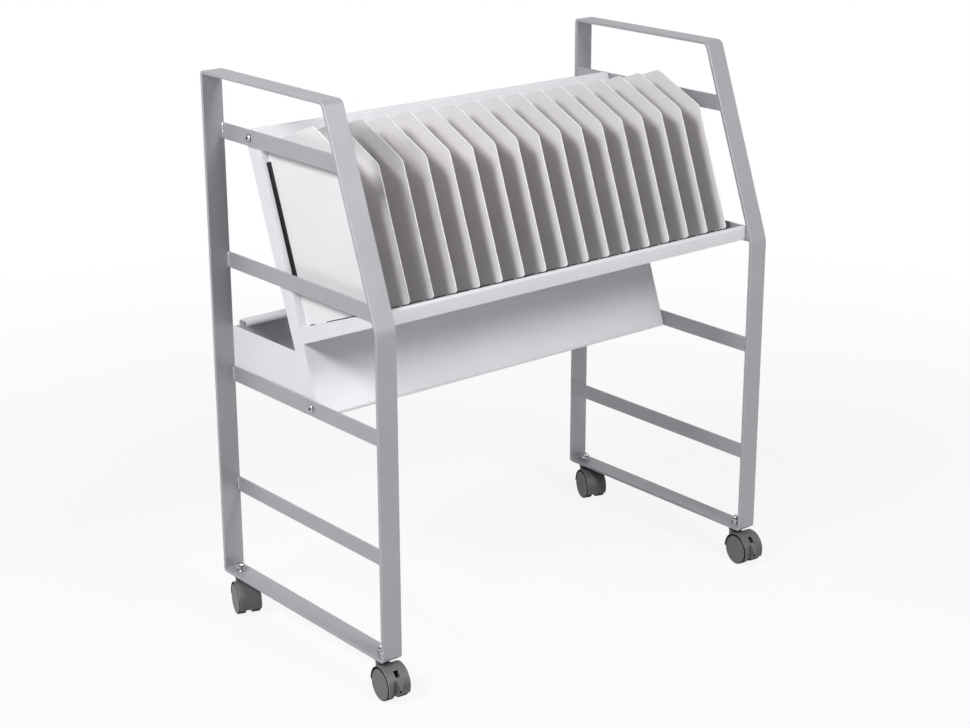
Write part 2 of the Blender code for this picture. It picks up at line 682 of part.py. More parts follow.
def lever_mesh():
    """Return the brake lever: a curved blade with a round pivot end and a toe to press."""
    boss = LEVER_THICKNESS / 2
    pivot = polar(LEVER_PIVOT_RADIUS, LEVER_PIVOT_ANGLE)
    turns = [LEVER_PIVOT_ANGLE + math.pi * (1 - i / BEND_STEPS) for i in range(BEND_STEPS)]
    top = [(pivot[0] - boss * math.cos(turn), pivot[1] + boss * math.sin(turn)) for turn in turns]
    blade = arc(LEVER_OUTER_RADIUS, LEVER_PIVOT_ANGLE, LEVER_BLADE_END_ANGLE, BEND_STEPS)
    toe = arc(LEVER_OUTER_RADIUS + LEVER_TOE, LEVER_TOE_START_ANGLE, LEVER_END_ANGLE, BEND_STEPS)
    inner = arc(LEVER_INNER_RADIUS, LEVER_END_ANGLE, LEVER_PIVOT_ANGLE, 2 * BEND_STEPS)
    outline = top + blade + toe + inner[:-1]
    return prism(outline, -LEVER_WIDTH / 2, LEVER_WIDTH / 2), pivot


def cap_nut_mesh():
    """Return the domed cap nut on its washer, bored from below for the stem."""
    hex_top = WASHER_HEIGHT + NUT_HEX_HEIGHT
    dome = NUT_DOME_DIAMETER / 2
    dome_points = [(dome * math.cos(a), hex_top + dome * math.sin(a))
                   for a in (math.pi / 2 * i / BEND_STEPS for i in range(BEND_STEPS))]
    washer = WASHER_DIAMETER / 2
    profile = [(0, 0), (washer, 0), (washer, WASHER_HEIGHT), (dome, WASHER_HEIGHT), *dome_points,
               (0, hex_top + dome)]
    hexagon = cylinder(NUT_SIZE / 2 / math.cos(math.pi / HEX_SIDES), WASHER_HEIGHT / 2, hex_top, HEX_SIDES)
    nut = combined(turned(profile, SMALL_ROUND_STEPS), [hexagon], "UNION")
    bore_top = STEM_REACH_IN_NUT + BORE_CLEARANCE
    bore = cylinder(STEM_DIAMETER / 2 + BORE_CLEARANCE, -OVERRUN, bore_top, SMALL_ROUND_STEPS)
    return smooth(combined(nut, [bore], "DIFFERENCE"))


def stem_mesh():
    """Return the caster's stem with the dark collar that bears on the bar."""
    stem = STEM_DIAMETER / 2
    collar = COLLAR_DIAMETER / 2
    low = HOOD_TOP - STEM_GRIP
    collar_low = HOOD_TOP + GAP
    collar_high = BAR_UNDERSIDE - GAP
    top = BAR_UNDERSIDE + BAR_THICKNESS + GAP + STEM_REACH_IN_NUT
    profile = [(0, low), (stem, low), (stem, collar_low), (collar, collar_low), (collar, collar_high),
               (stem, collar_high), (stem, top), (0, top)]
    return smooth(turned(profile, SMALL_ROUND_STEPS))


def make_casters():
    """Make the four casters: stem, cap nut, hood, axle, two wheels and the front levers."""
    stem = stem_mesh()
    nut = cap_nut_mesh()
    hoods = {"front": hood_mesh(True), "rear": hood_mesh(False)}
    wheel = wheel_mesh()
    axle_half = WHEEL_INNER_X + AXLE_REACH
    axle = smooth(cylinder(AXLE_DIAMETER / 2, -axle_half, axle_half, SMALL_ROUND_STEPS))
    lever, pivot = lever_mesh()
    moved(lever, 0, -pivot[0], -pivot[1])
    for name, (x, y, turn) in stem_places().items():
        swivel = bpy.data.objects.new(f"swivel_{name}", None)
        bpy.context.collection.objects.link(swivel)
        swivel.location = (x, y, 0)
        swivel.rotation_euler.z = turn
        make_object(f"stem_{name}", stem, "dark_plastic", swivel)
        cap = make_object(f"cap_nut_{name}", nut, "chrome", swivel)
        cap.location.z = BAR_UNDERSIDE + BAR_THICKNESS + GAP
        make_object(f"hood_{name}", hoods[name.split("_")[0]], "caster_plastic", swivel)
        pin = make_object(f"axle_{name}", axle, "steel", swivel)
        pin.location = (0, -TRAIL, WHEEL_RADIUS)
        pin.rotation_euler.y = math.pi / 2
        for side, wheel_name in ((-1, "a"), (1, "b")):
            disc = make_object(f"wheel_{name}_{wheel_name}", wheel, "wheel_plastic", swivel)
            disc.location = (side * WHEEL_INNER_X, -TRAIL, WHEEL_RADIUS)
            disc.rotation_euler.y = side * math.pi / 2
        if name.startswith("front"):
            pedal = make_object(f"brake_lever_{name}", lever, "caster_plastic", swivel)
            pedal.location = (0, *pivot)


def centre_over_origin():
    """Move the whole cart so that the middle of its box stands over the origin."""
    bpy.context.view_layer.update()
    points = np.array([made.matrix_world @ vertex.co for made in bpy.data.objects if made.type == "MESH"
                       for vertex in made.data.vertices])
    middle = (points.min(axis=0) + points.max(axis=0)) / 2
    for made in bpy.data.objects:
        if made.parent is None:
            made.location.x -= middle[0]
            made.location.y -= middle[1]


def main():
    """Build the cart."""
    clear_scene()
    make_frame_loops()
    make_rungs()
    make_tray()
    make_end_plates()
    make_dividers()
    make_tray_bolts()
    make_casters()
    centre_over_origin()


main()
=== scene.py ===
"""Dressed scene of an open charging cart.

Two bent flat-bar frames with rungs carry a tilted sheet tray, which holds seventeen divider plates
and runs on below into a trough. The cart stands on four twin-wheel casters, the front two with a
brake lever. Lengths are in metres. X runs along the cart, -Y is the loading side and +Z is up.
"""

import logging
import math
from dataclasses import dataclass, field
from enum import Enum
from typing import Callable

import bmesh
import bpy
import numpy as np
from mathutils import Matrix, Vector


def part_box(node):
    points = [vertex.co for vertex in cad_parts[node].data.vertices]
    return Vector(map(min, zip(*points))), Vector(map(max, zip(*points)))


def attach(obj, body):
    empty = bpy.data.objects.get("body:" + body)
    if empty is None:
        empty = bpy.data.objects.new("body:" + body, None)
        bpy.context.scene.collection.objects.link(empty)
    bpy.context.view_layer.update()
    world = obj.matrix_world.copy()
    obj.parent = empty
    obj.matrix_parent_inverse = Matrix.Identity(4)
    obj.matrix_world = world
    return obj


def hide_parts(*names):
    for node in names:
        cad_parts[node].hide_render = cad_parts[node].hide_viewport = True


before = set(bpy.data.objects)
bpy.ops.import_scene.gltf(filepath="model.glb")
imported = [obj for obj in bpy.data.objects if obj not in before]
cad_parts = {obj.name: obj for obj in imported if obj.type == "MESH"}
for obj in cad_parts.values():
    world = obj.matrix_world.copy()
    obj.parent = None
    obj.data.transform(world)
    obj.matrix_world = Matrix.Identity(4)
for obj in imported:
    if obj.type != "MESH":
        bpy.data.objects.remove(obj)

Array = np.ndarray
Colour = tuple[float, float, float]
Tree = bpy.types.NodeTree
Socket = bpy.types.NodeSocket
MM = 0.001
SHARP = math.radians(35)
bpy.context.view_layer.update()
LOOPS = [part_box("frame_loop_left"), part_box("frame_loop_right")]
MIDDLE = np.array([LOOPS[0][0][0] + LOOPS[1][1][0], LOOPS[0][0][1] + LOOPS[0][1][1], 0]) / 2
log = logging.getLogger("cart")


class Side(Enum):
    """The two ends of the cart, with the sign of their X."""

    LEFT = -1
    RIGHT = 1


class CasterPlace(Enum):
    """The four casters, as (sign of X, sign of Y, turn about the stem in degrees)."""

    FRONT_LEFT = (-1, -1, -7)
    FRONT_RIGHT = (1, -1, -7)
    REAR_LEFT = (-1, 1, -18)
    REAR_RIGHT = (1, 1, -18)


class Slot(Enum):
    """The record's material slots."""

    FRAME = "frame_paint"
    TRAY = "tray_paint"
    CASTER = "caster_plastic"
    WHEEL = "wheel_plastic"
    DARK = "dark_plastic"
    STEEL = "steel"
    CHROME = "chrome"


# Surfaces


@dataclass
class Surface:
    """A shape in the making: its corners, its faces and a mark at each corner for its colour.

    The mark runs from 1 on an edge, lightened by abrasion and a painted highlight, over 0 on a plain
    face to -1 in a nook, darkened by painted shade.
    """

    corners: Array
    quads: Array
    caps: list[Array] = field(default_factory=list)
    edge: Array | None = None

    def placed(self, turn: Array, shift: tuple[float, float, float]) -> "Surface":
        """Return the surface turned by a 3 x 3 matrix and then shifted."""
        return Surface(self.corners @ turn.T + np.array(shift), self.quads, self.caps, self.edge)

    def along_x(self, start: float, centre: tuple[float, float], sign: int) -> "Surface":
        """Return a surface made about Z laid along X, with sign for the way it points."""
        turn = np.array([[0, 0, sign], [0, 1, 0], [-sign, 0, 0]], float)
        return self.placed(turn, (start, *centre))


def joined(parts: list[Surface]) -> Surface:
    """Put several surfaces into one.

    Args:
        parts: the surfaces, each closed in itself.

    Returns:
        One surface with all their corners and faces.
    """
    starts = np.cumsum([0] + [len(part.corners) for part in parts[:-1]])
    edges = [np.zeros(len(part.corners)) if part.edge is None else part.edge for part in parts]
    return Surface(
        np.concatenate([part.corners for part in parts]),
        np.concatenate([part.quads + start for part, start in zip(parts, starts)]),
        [cap + start for part, start in zip(parts, starts) for cap in part.caps],
        np.concatenate(edges),
    )


def grid_quads(rows: int, columns: int, wrap_rows: bool, wrap_columns: bool) -> Array:
    """Number the quads of a grid of corners.

    Args:
        rows: corners along the first direction.
        columns: corners along the second direction.
        wrap_rows: whether the last row joins the first.
        wrap_columns: whether the last column joins the first.

    Returns:
        The four corner numbers of each quad.
    """
    row = np.arange(rows if wrap_rows else rows - 1)[:, None]
    column = np.arange(columns if wrap_columns else columns - 1)[None, :]
    next_row, next_column = (row + 1) % rows, (column + 1) % columns
    around = [row * columns + column, next_row * columns + column,
              next_row * columns + next_column, row * columns + next_column]
    return np.stack(around, axis=-1).reshape(-1, 4)


@dataclass
class Path:
    """Points in the YZ plane, with the direction at each in which a section's inset runs."""

    points: Array
    inward: Array

    def refined(self, stops: Array) -> "Path":
        """Add points to the path, each worked out between its neighbours.

        Args:
            stops: distances along the path.

        Returns:
            The path with a point at each of them.
        """
        along = self.distances()
        every = np.unique(np.concatenate([along, stops]).round(7))
        points = [np.interp(every, along, self.points[:, k]) for k in (0, 1)]
        inward = [np.interp(every, along, self.inward[:, k]) for k in (0, 1)]
        return Path(np.stack(points, axis=1), np.stack(inward, axis=1))

    def distances(self) -> Array:
        """Return how far along the path each point is."""
        steps = np.linalg.norm(np.diff(self.points, axis=0), axis=1)
        return np.concatenate([[0], np.cumsum(steps)])

    def where(self, point: Array) -> float:
        """Find how far along the path a point on it is.

        Args:
            point: a (y, z) point on or near the path.

        Returns:
            The distance along the path of the nearest place on it.
        """
        start, leg = self.points[:-1], np.diff(self.points, axis=0)
        length = np.maximum(np.einsum("ij,ij->i", leg, leg), 1e-18)
        share = np.clip(np.einsum("ij,ij->i", point - start, leg) / length, 0, 1)
        off = np.linalg.norm(start + leg * share[:, None] - point, axis=1)
        nearest = int(np.argmin(off))
        return float(self.distances()[nearest] + share[nearest] * math.sqrt(length[nearest]))


def rounded(corners: Array, radii: list[float], closed: bool, steps: int = 8,
            support: float = 0.4 * MM) -> Path:
    """Round a row of corners with arcs.

    Each arc is centre - r * side * n(t), where n is the left normal turned evenly through the
    corner's angle. A support point stands on the straight just before and after each arc, so that
    flats shade flat. A corner of no radius stays one point. The inset direction is the left mitre.

    Args:
        corners: the (y, z) corners.
        radii: the radius at each corner.
        closed: whether the last corner joins the first.
        steps: pieces in each arc.
        support: how far the support points stand off.

    Returns:
        The rounded path.
    """
    count = len(corners)
    found = []
    for i, radius in enumerate(radii):
        corner = corners[i]
        if radius == 0 or (not closed and i in (0, count - 1)):
            found.append(corner[None, :])
            continue
        before, after = corner - corners[i - 1], corners[(i + 1) % count] - corner
        before, after = before / np.linalg.norm(before), after / np.linalg.norm(after)
        turn = math.atan2(before[0] * after[1] - before[1] * after[0], float(before @ after))
        side = math.copysign(1, turn)
        normal = np.array([-before[1], before[0]])
        start = corner - before * radius * math.tan(abs(turn) / 2)
        centre = start + normal * side * radius
        t = np.linspace(0, turn, steps + 1)
        swung = np.stack([normal[0] * np.cos(t) - normal[1] * np.sin(t),
                          normal[0] * np.sin(t) + normal[1] * np.cos(t)], axis=1)
        bend = centre - swung * side * radius
        found.append(np.concatenate([[bend[0] - before * support], bend, [bend[-1] + after * support]]))
    return mitred(np.concatenate(found), closed)


def mitred(points: Array, closed: bool, least: float = 0.3) -> Path:
    """Give each point of a path its left mitre direction.

    The mitre is (a + b) / (1 + a . b), with a and b the left normals of the two legs that meet.

    Args:
        points: the (y, z) points.
        closed: whether the last joins the first.
        least: lowest value of 1 + a . b, which keeps the mitre of a sharp corner short.

    Returns:
        The path.
    """
    legs = np.roll(points, -1, axis=0) - points
    if not closed:
        legs[-1] = legs[-2]
    legs /= np.linalg.norm(legs, axis=1, keepdims=True)
    after = np.stack([-legs[:, 1], legs[:, 0]], axis=1)
    before = np.roll(after, 1, axis=0)
    if not closed:
        before[0] = after[0]
    share = 1 + np.einsum("ij,ij->i", before, after)
    return Path(points, (before + after) / np.maximum(share, least)[:, None])


def carried(path: Path, section: Array, edge: Array, ring: bool, tube: bool) -> Surface:
    """Carry a section along a path in the YZ plane.

    A corner is (x, p + o * n), where p is the path's point, n its inset direction, and (o, x) the
    section's point as inset and place across the cart. Open ends are closed by flat faces.

    Args:
        path: the line that the section follows.
        section: rows of (inset, x).
        edge: how far each point of the section is on a lightened edge, with painted shade where
            negative.
        ring: whether the path closes on itself.
        tube: whether the section closes on itself.

    Returns:
        The closed surface.
    """
    place = path.points[:, None, :] + path.inward[:, None, :] * section[None, :, :1]
    rows, columns = place.shape[:2]
    across = np.broadcast_to(section[None, :, 1:], (rows, columns, 1))
    corners = np.concatenate([across, place], axis=2).reshape(-1, 3)
    number = np.arange(rows * columns).reshape(rows, columns)
    caps = [] if tube else [number[:, 0], number[:, -1]]
    caps += [] if ring else [number[0], number[-1]]
    edge_marks = np.broadcast_to(edge, (rows, columns)).reshape(-1)
    return Surface(corners, grid_quads(rows, columns, ring, tube), caps, edge_marks)


def bar_section(depth: float, low: float, high: float, radius: float, steps: int = 4,
                support: float = 0.3 * MM) -> tuple[Array, Array]:
    """Give the section of a flat bar: a rectangle whose four corners are quarter circles.

    Args:
        depth: size along the inset direction.
        low: lowest x.
        high: highest x.
        radius: radius of the corners.
        steps: pieces in each quarter circle.
        support: how far the support points stand off a corner, at most its radius.

    Returns:
        Rows of (inset, x) and how far each is on an edge that its colour lightens.
    """
    corners = np.array([[0, low], [depth, low], [depth, high], [0, high]], float)
    path = rounded(corners, [radius] * 4, True, steps, min(radius, support))
    edge_marks = np.tile(np.concatenate([[0], np.ones(steps + 1), [0]]), 4)
    return path.points, edge_marks


def plate_section(low: float, high: float, radius: float, steps: int = 3,
                  inset_share: float = 1.6) -> tuple[Array, Array]:
    """Give the edge of a plate: flat rim between two quarter circles that end on its faces.

    Args:
        low: x of one face.
        high: x of the other face.
        radius: radius of the edge.
        steps: pieces in each quarter circle.
        inset_share: how far in the face's own first ring lies, as a share of the radius.

    Returns:
        Rows of (inset, x) and how far each is on an edge that its colour lightens.
    """
    t = np.linspace(0, math.pi / 2, steps + 1)
    fall = np.concatenate([[radius * inset_share], radius * (1 - np.sin(t))])
    rise = np.concatenate([[0], radius * (1 - np.cos(t))])
    inset = np.concatenate([fall, fall[::-1]])
    across = np.concatenate([low + rise, high - rise[::-1]])
    edge_marks = np.concatenate([[0], np.ones(steps + 1)])
    return np.stack([inset, across], axis=1), np.concatenate([edge_marks, edge_marks[::-1]])


def plate(outline: Path, low: float, high: float, radius: float) -> Surface:
    """Carry the plate's edge round its outline, and close it with two flat faces.

    The outline is turned round first where its shoelace area is negative, so that the edge's
    inset runs into the plate.

    Args:
        outline: the plate's outline.
        low: x of one face.
        high: x of the other face.
        radius: radius of the softened edges.

    Returns:
        The closed plate.
    """
    y, z = outline.points.T
    if float(y @ np.roll(z, -1) - z @ np.roll(y, -1)) < 0:
        outline = mitred(outline.points[::-1], True)
    section, edge = plate_section(low, high, radius)
    return carried(outline, section, edge, True, False)


def turned(profile: Array, steps: int = 48, edge: Array | None = None,
           ring: bool = False) -> Surface:
    """Turn a profile about Z.

    A corner is (r cos a, r sin a, h). Where the row's third number is 1, r is the distance to a
    flat and is stretched to a hexagon, r / cos(a mod 60 - 30), and cut off at the fourth number.

    Args:
        profile: rows of (radius, height, hexagon share, greatest radius).
        steps: corners in each ring.
        edge: the mark of each row, a lightened edge where positive and painted shade where negative.
        ring: whether the last row joins the first.

    Returns:
        The surface, closed by a flat face at each end unless it is a ring.
    """
    angle = np.arange(steps) * math.tau / steps
    hexagon = 1 / np.cos(np.mod(angle, math.pi / 3) - math.pi / 6)
    stretch = 1 + profile[:, 2:3] * (hexagon[None, :] - 1)
    radius = np.minimum(profile[:, :1] * stretch, profile[:, 3:4])
    height = np.broadcast_to(profile[:, 1:2], radius.shape)
    corners = np.stack([radius * np.cos(angle), radius * np.sin(angle), height], axis=-1)
    rows = len(profile)
    edge_marks = np.zeros(rows) if edge is None else edge
    caps = [] if ring else [np.arange(steps), np.arange(steps) + (rows - 1) * steps]
    quads = grid_quads(rows, steps, ring, True)
    return Surface(corners.reshape(-1, 3), quads, caps, np.repeat(edge_marks, steps))


def round_rows(points: Array) -> Array:
    """Return (radius, height) points as turned() takes them, round and with no greatest radius."""
    return np.concatenate([points, np.zeros((len(points), 1)), np.ones((len(points), 1))], axis=1)


def softened(corners: list[tuple[float, float]], radii: list[float], closed: bool = False,
             steps: int = 4, support: float = 0.1 * MM) -> Array:
    """Give the rows of a round profile with its corners rounded over.

    Args:
        corners: the profile's (radius, height) corners.
        radii: the radius at each corner.
        closed: whether the last corner joins the first.
        steps: pieces in each rounded corner.
        support: how far the support points stand off.

    Returns:
        The rows, as turned() takes them.
    """
    return round_rows(rounded(np.array(corners, float), radii, closed, steps, support).points)


@dataclass(frozen=True)
class Bead:
    """How a weld bead looks: its radius, the fineness of its mesh and its two sets of ripples."""

    radius: float = 2.3 * MM
    rows: int = 28
    sides: int = 14
    thin_end: float = 0.002
    ripples: tuple[float, float] = (31, 17)
    ripple_heights: tuple[float, float] = (0.14, 0.1)

    def laid(self, line: Array, outward: Array, seed: int) -> Surface:
        """Lay the bead along a line.

        A corner is p(s) + r(s) (cos a * across + sin a * outward), where r falls to almost nothing
        at both ends as sqrt(1 - (2 s - 1)^4), and ripples as sines along s and round a.

        Args:
            line: rows of (x, y, z) along the joint.
            outward: the direction that the bead bulges in.
            seed: picks where its ripples lie.

        Returns:
            The closed surface.
        """
        s = np.linspace(0, 1, self.rows)
        share = np.linspace(0, 1, len(line))
        centre = np.stack([np.interp(s, share, line[:, k]) for k in range(3)], axis=1)
        along = (line[-1] - line[0]) / np.linalg.norm(line[-1] - line[0])
        across = np.cross(along, outward)
        angle = np.arange(self.sides) * math.tau / self.sides
        s = s[:, None]
        taper = np.sqrt(np.maximum(1 - (2 * s - 1) ** 4, self.thin_end))
        waves = np.sin(self.ripples[0] * s + seed), np.sin(2 * angle + self.ripples[1] * s + seed)
        ripple = self.ripple_heights[0] * waves[0] + self.ripple_heights[1] * waves[1]
        reach = (self.radius * taper * (1 + ripple))[..., None]
        bulge = np.cos(angle)[:, None] * across + np.sin(angle)[:, None] * outward
        number = np.arange(self.rows * self.sides).reshape(self.rows, self.sides)
        return Surface((centre[:, None, :] + reach * bulge).reshape(-1, 3),
                       grid_quads(self.rows, self.sides, False, True), [number[0], number[-1]])


# Finishes


def math_node(tree: Tree, operation: str, first: Socket | float, second: Socket | float) -> Socket:
    """Add a math node that joins two sockets or numbers.

    Args:
        tree: the node tree.
        operation: the node's operation.
        first: first socket or number.
        second: second socket or number.

    Returns:
        The node's output.
    """
    node = tree.nodes.new("ShaderNodeMath")
    node.operation = operation
    for socket, value in zip(node.inputs, (first, second)):
        if isinstance(value, Socket):
            tree.links.new(value, socket)
        else:
            socket.default_value = value
    return node.outputs[0]


def range_node(tree: Tree, value: Socket, low: float, high: float,
               to_low: float = 0.0, to_high: float = 1.0) -> Socket:
    """Add a node that maps one range of numbers to another.

    Args:
        tree: the node tree.
        value: the number to map.
        low: start of its range.
        high: end of its range.
        to_low: what low becomes.
        to_high: what high becomes.

    Returns:
        The node's output.
    """
    node = tree.nodes.new("ShaderNodeMapRange")
    tree.links.new(value, node.inputs["Value"])
    labels = ("From Min", "From Max", "To Min", "To Max")
    for label, number in zip(labels, (low, high, to_low, to_high)):
        node.inputs[label].default_value = number
    return node.outputs["Result"]


def over_node(tree: Tree, mask: Socket, under: Socket | Colour, over: Colour) -> Socket:
    """Lay a colour over another by a mask.

    Args:
        tree: the node tree.
        mask: how much of the upper colour shows.
        under: socket or plain colour below.
        over: the colour above.

    Returns:
        The mixed colour's output.
    """
    mix = tree.nodes.new("ShaderNodeMix")
    mix.data_type = "RGBA"
    tree.links.new(mask, mix.inputs["Factor"])
    first, second = (s for s in mix.inputs if s.type == "RGBA")
    if isinstance(under, Socket):
        tree.links.new(under, first)
    else:
        first.default_value = (*under, 1)
    second.default_value = (*over, 1)
    return next(s for s in mix.outputs if s.type == "RGBA")


class Effect:
    """A node group that several finishes share, in the making: its nodes, inputs and outputs."""

    def __init__(self, name: str, inputs: dict[str, float], outputs: list[str]) -> None:
        """Start the group with a vector input Point, number inputs and number outputs.

        Args:
            name: name of the group.
            inputs: its number inputs and their defaults.
            outputs: its number outputs.
        """
        self.tree = bpy.data.node_groups.new(name, "ShaderNodeTree")
        face = self.tree.interface
        face.new_socket(name="Point", in_out="INPUT", socket_type="NodeSocketVector")
        for label, value in inputs.items():
            made = face.new_socket(name=label, in_out="INPUT", socket_type="NodeSocketFloat")
            made.default_value = value
        for label in outputs:
            face.new_socket(name=label, in_out="OUTPUT", socket_type="NodeSocketFloat")
        self.given = self.tree.nodes.new("NodeGroupInput").outputs
        self.result = self.tree.nodes.new("NodeGroupOutput").inputs

    def noise(self, scale: str, detail: float, roughness: float) -> Socket:
        """Add a noise texture on the group's Point.

        Args:
            scale: the input that sets its scale.
            detail: its detail.
            roughness: its roughness.

        Returns:
            Its output.
        """
        node = self.tree.nodes.new("ShaderNodeTexNoise")
        node.inputs["Detail"].default_value = detail
        node.inputs["Roughness"].default_value = roughness
        self.tree.links.new(self.given["Point"], node.inputs["Vector"])
        self.tree.links.new(self.given[scale], node.inputs["Scale"])
        return node.outputs["Fac"]

    def product(self, first: Socket, second: Socket) -> Socket:
        """Return the product of two numbers and the group's Amount."""
        both = math_node(self.tree, "MULTIPLY", first, second)
        return math_node(self.tree, "MULTIPLY", both, self.given["Amount"])

    def give(self, label: str, value: Socket) -> None:
        """Set one of the group's outputs."""
        self.tree.links.new(value, self.result[label])


def make_grain(name: str) -> Tree:
    """Make the group for the fine texture of a coat: its height, and a soft mottle.

    Args:
        name: name of the group.

    Returns:
        The group.
    """
    grain = Effect(name, {"Fine Scale": 900, "Mottle Scale": 14}, ["Height", "Mottle"])
    soft_from, soft_to = 0.3, 0.7
    grain.give("Height", grain.noise("Fine Scale", 3, 0.6))
    soft = grain.noise("Mottle Scale", 4, 0.55)
    grain.give("Mottle", range_node(grain.tree, soft, soft_from, soft_to))
    return grain.tree


def make_wear_highlight_and_shade(name: str) -> Tree:
    """Make the group for lighter edges, broken up by noise, which stand for abrasion and a painted
    highlight, and for painted shade in nooks.

    Args:
        name: name of the group.

    Returns:
        The group.
    """
    wear_and_highlight = Effect(name, {"Amount": 0.5, "Scale": 60}, ["Mask", "Dirt"])
    unmarked_from, marked_from = 0.38, 0.66
    mark = wear_and_highlight.tree.nodes.new("ShaderNodeAttribute")
    mark.attribute_name = "edge"
    broken = range_node(wear_and_highlight.tree, wear_and_highlight.noise("Scale", 5, 0.65), unmarked_from, marked_from)
    wear_and_highlight.give("Mask", wear_and_highlight.product(mark.outputs["Fac"], broken))
    wear_and_highlight.give("Dirt", range_node(wear_and_highlight.tree, mark.outputs["Fac"], 0, -1))
    return wear_and_highlight.tree


def make_dust(name: str) -> Tree:
    """Make the group for dust that settles on what faces up.

    Args:
        name: name of the group.

    Returns:
        The group.
    """
    dust = Effect(name, {"Amount": 0.2, "Scale": 25}, ["Mask"])
    steep, level = 0.2, 0.95
    thin, thick = 0.3, 0.75
    facing = dust.tree.nodes.new("ShaderNodeNewGeometry")
    split = dust.tree.nodes.new("ShaderNodeSeparateXYZ")
    dust.tree.links.new(facing.outputs["Normal"], split.inputs[0])
    up = range_node(dust.tree, split.outputs["Z"], steep, level)
    spread = range_node(dust.tree, dust.noise("Scale", 6, 0.7), thin, thick)
    dust.give("Mask", dust.product(up, spread))
    return dust.tree


@dataclass(frozen=True)
class Finish:
    """A coat or bare material: its colours, its gloss, how fine and dusty it is, its lighter edges from
    abrasion and painted highlight, and its painted shade in nooks.
    """

    name: str
    slot: Slot
    colour: Colour
    roughness: float
    metallic: float = 0.0
    mottle: float = 0.03
    fine_scale: float = 900.0
    mottle_scale: float = 14.0
    bump: float = 0.05
    wear_and_highlight: float = 0.0
    # Colour of the lighter edges, which stand for abrasion and a painted highlight.
    wear_and_highlight_colour: Colour = (0.6, 0.6, 0.62)
    edge_noise_scale: float = 60.0
    # Colour of the painted shade in nooks and creases.
    dirt_colour: Colour = (0.006, 0.006, 0.006)
    dust: float = 0.0
    dust_colour: Colour = (0.62, 0.6, 0.57)
    specular: float = 0.5
    dust_roughness: float = 0.3
    relief: float = 0.4 * MM

    def material(self) -> bpy.types.Material:
        """Give the finish's material, made on first use.

        Returns:
            The material: a mottled coat, with lighter edges (abrasion and painted highlight) and painted
                shade and then dust laid over it.
        """
        known = bpy.data.materials.get(self.name)
        if known:
            return known
        material = bpy.data.materials.new(self.name)
        material.use_nodes = True
        tree = material.node_tree
        shader = tree.nodes["Principled BSDF"]
        shader.inputs["Metallic"].default_value = self.metallic
        shader.inputs["Specular IOR Level"].default_value = self.specular
        place = tree.nodes.new("ShaderNodeTexCoord").outputs["Object"]
        scales = {"Fine Scale": self.fine_scale, "Mottle Scale": self.mottle_scale}
        grain = self.with_effect(tree, "fine_grain", make_grain, place, scales)
        darker = tuple(c * (1 - self.mottle) for c in self.colour)
        lighter = tuple(min(c * (1 + self.mottle), 1) for c in self.colour)
        colour = over_node(tree, grain["Mottle"], darker, lighter)
        spread = [self.roughness * (1 + 2 * sign * self.mottle) for sign in (-1, 1)]
        rough = range_node(tree, grain["Mottle"], 0, 1, *spread)
        if self.wear_and_highlight:
            values = {"Amount": self.wear_and_highlight, "Scale": self.edge_noise_scale}
            edge_marks = self.with_effect(tree, "edge_wear_highlight_shade", make_wear_highlight_and_shade, place, values)
            # Lighter edges for abrasion and painted highlight, then painted shade darkening nooks and
            # creases.
            colour = over_node(tree, edge_marks["Mask"], colour, self.wear_and_highlight_colour)
            colour = over_node(tree, edge_marks["Dirt"], colour, self.dirt_colour)
        if self.dust:
            dusty = self.with_effect(tree, "settled_dust", make_dust, place, {"Amount": self.dust})
            colour = over_node(tree, dusty["Mask"], colour, self.dust_colour)
            added = math_node(tree, "MULTIPLY", dusty["Mask"], self.dust_roughness)
            rough = math_node(tree, "ADD", rough, added)
        bump = tree.nodes.new("ShaderNodeBump")
        bump.inputs["Strength"].default_value = self.bump
        bump.inputs["Distance"].default_value = self.relief
        tree.links.new(grain["Height"], bump.inputs["Height"])
        for output, label in ((colour, "Base Color"), (rough, "Roughness"), (bump.outputs[0], "Normal")):
            tree.links.new(output, shader.inputs[label])
        return material

    @staticmethod
    def with_effect(tree: Tree, name: str, make: Callable[[str], Tree], place: Socket,
                    values: dict[str, float]) -> dict[str, Socket]:
        """Put a shared effect into a material with this finish's values.

        Args:
            tree: the material's node tree.
            name: name of the effect's group.
            make: makes the group the first time.
            place: Object coordinates.
            values: the group's inputs.

        Returns:
            The effect's outputs by name.
        """
        node = tree.nodes.new("ShaderNodeGroup")
        node.node_tree = bpy.data.node_groups.get(name) or make(name)
        tree.links.new(place, node.inputs["Point"])
        for label, value in values.items():
            node.inputs[label].default_value = value
        return dict(node.outputs.items())


# The lighter edges of frame, tray sheet and wheels stand for abrasion and a painted highlight.
SILVER_PAINT = Finish("silver_paint", Slot.FRAME, (0.40, 0.405, 0.43), roughness=0.42, metallic=0.35,
                      mottle=0.035, fine_scale=1400, mottle_scale=11, bump=0.06, wear_and_highlight=0.35,
                      wear_and_highlight_colour=(0.62, 0.63, 0.66), dust=0.05, specular=0.25)
WHITE_PAINT = Finish("white_paint", Slot.TRAY, (0.78, 0.785, 0.815), roughness=0.42, mottle=0.015,
                     fine_scale=700, mottle_scale=9, bump=0.07, wear_and_highlight=0.25,
                     wear_and_highlight_colour=(0.9, 0.9, 0.92), dust=0.05)
# The dividers' strong edge lightening is a painted highlight along their thin edges.
DIVIDER_PAINT = Finish("divider_paint", Slot.TRAY, (0.83, 0.806, 0.813), roughness=0.4, mottle=0.015,
                       fine_scale=700, mottle_scale=9, bump=0.07, wear_and_highlight=2.0,
                       wear_and_highlight_colour=(0.98, 0.98, 0.98), dust=0.04)
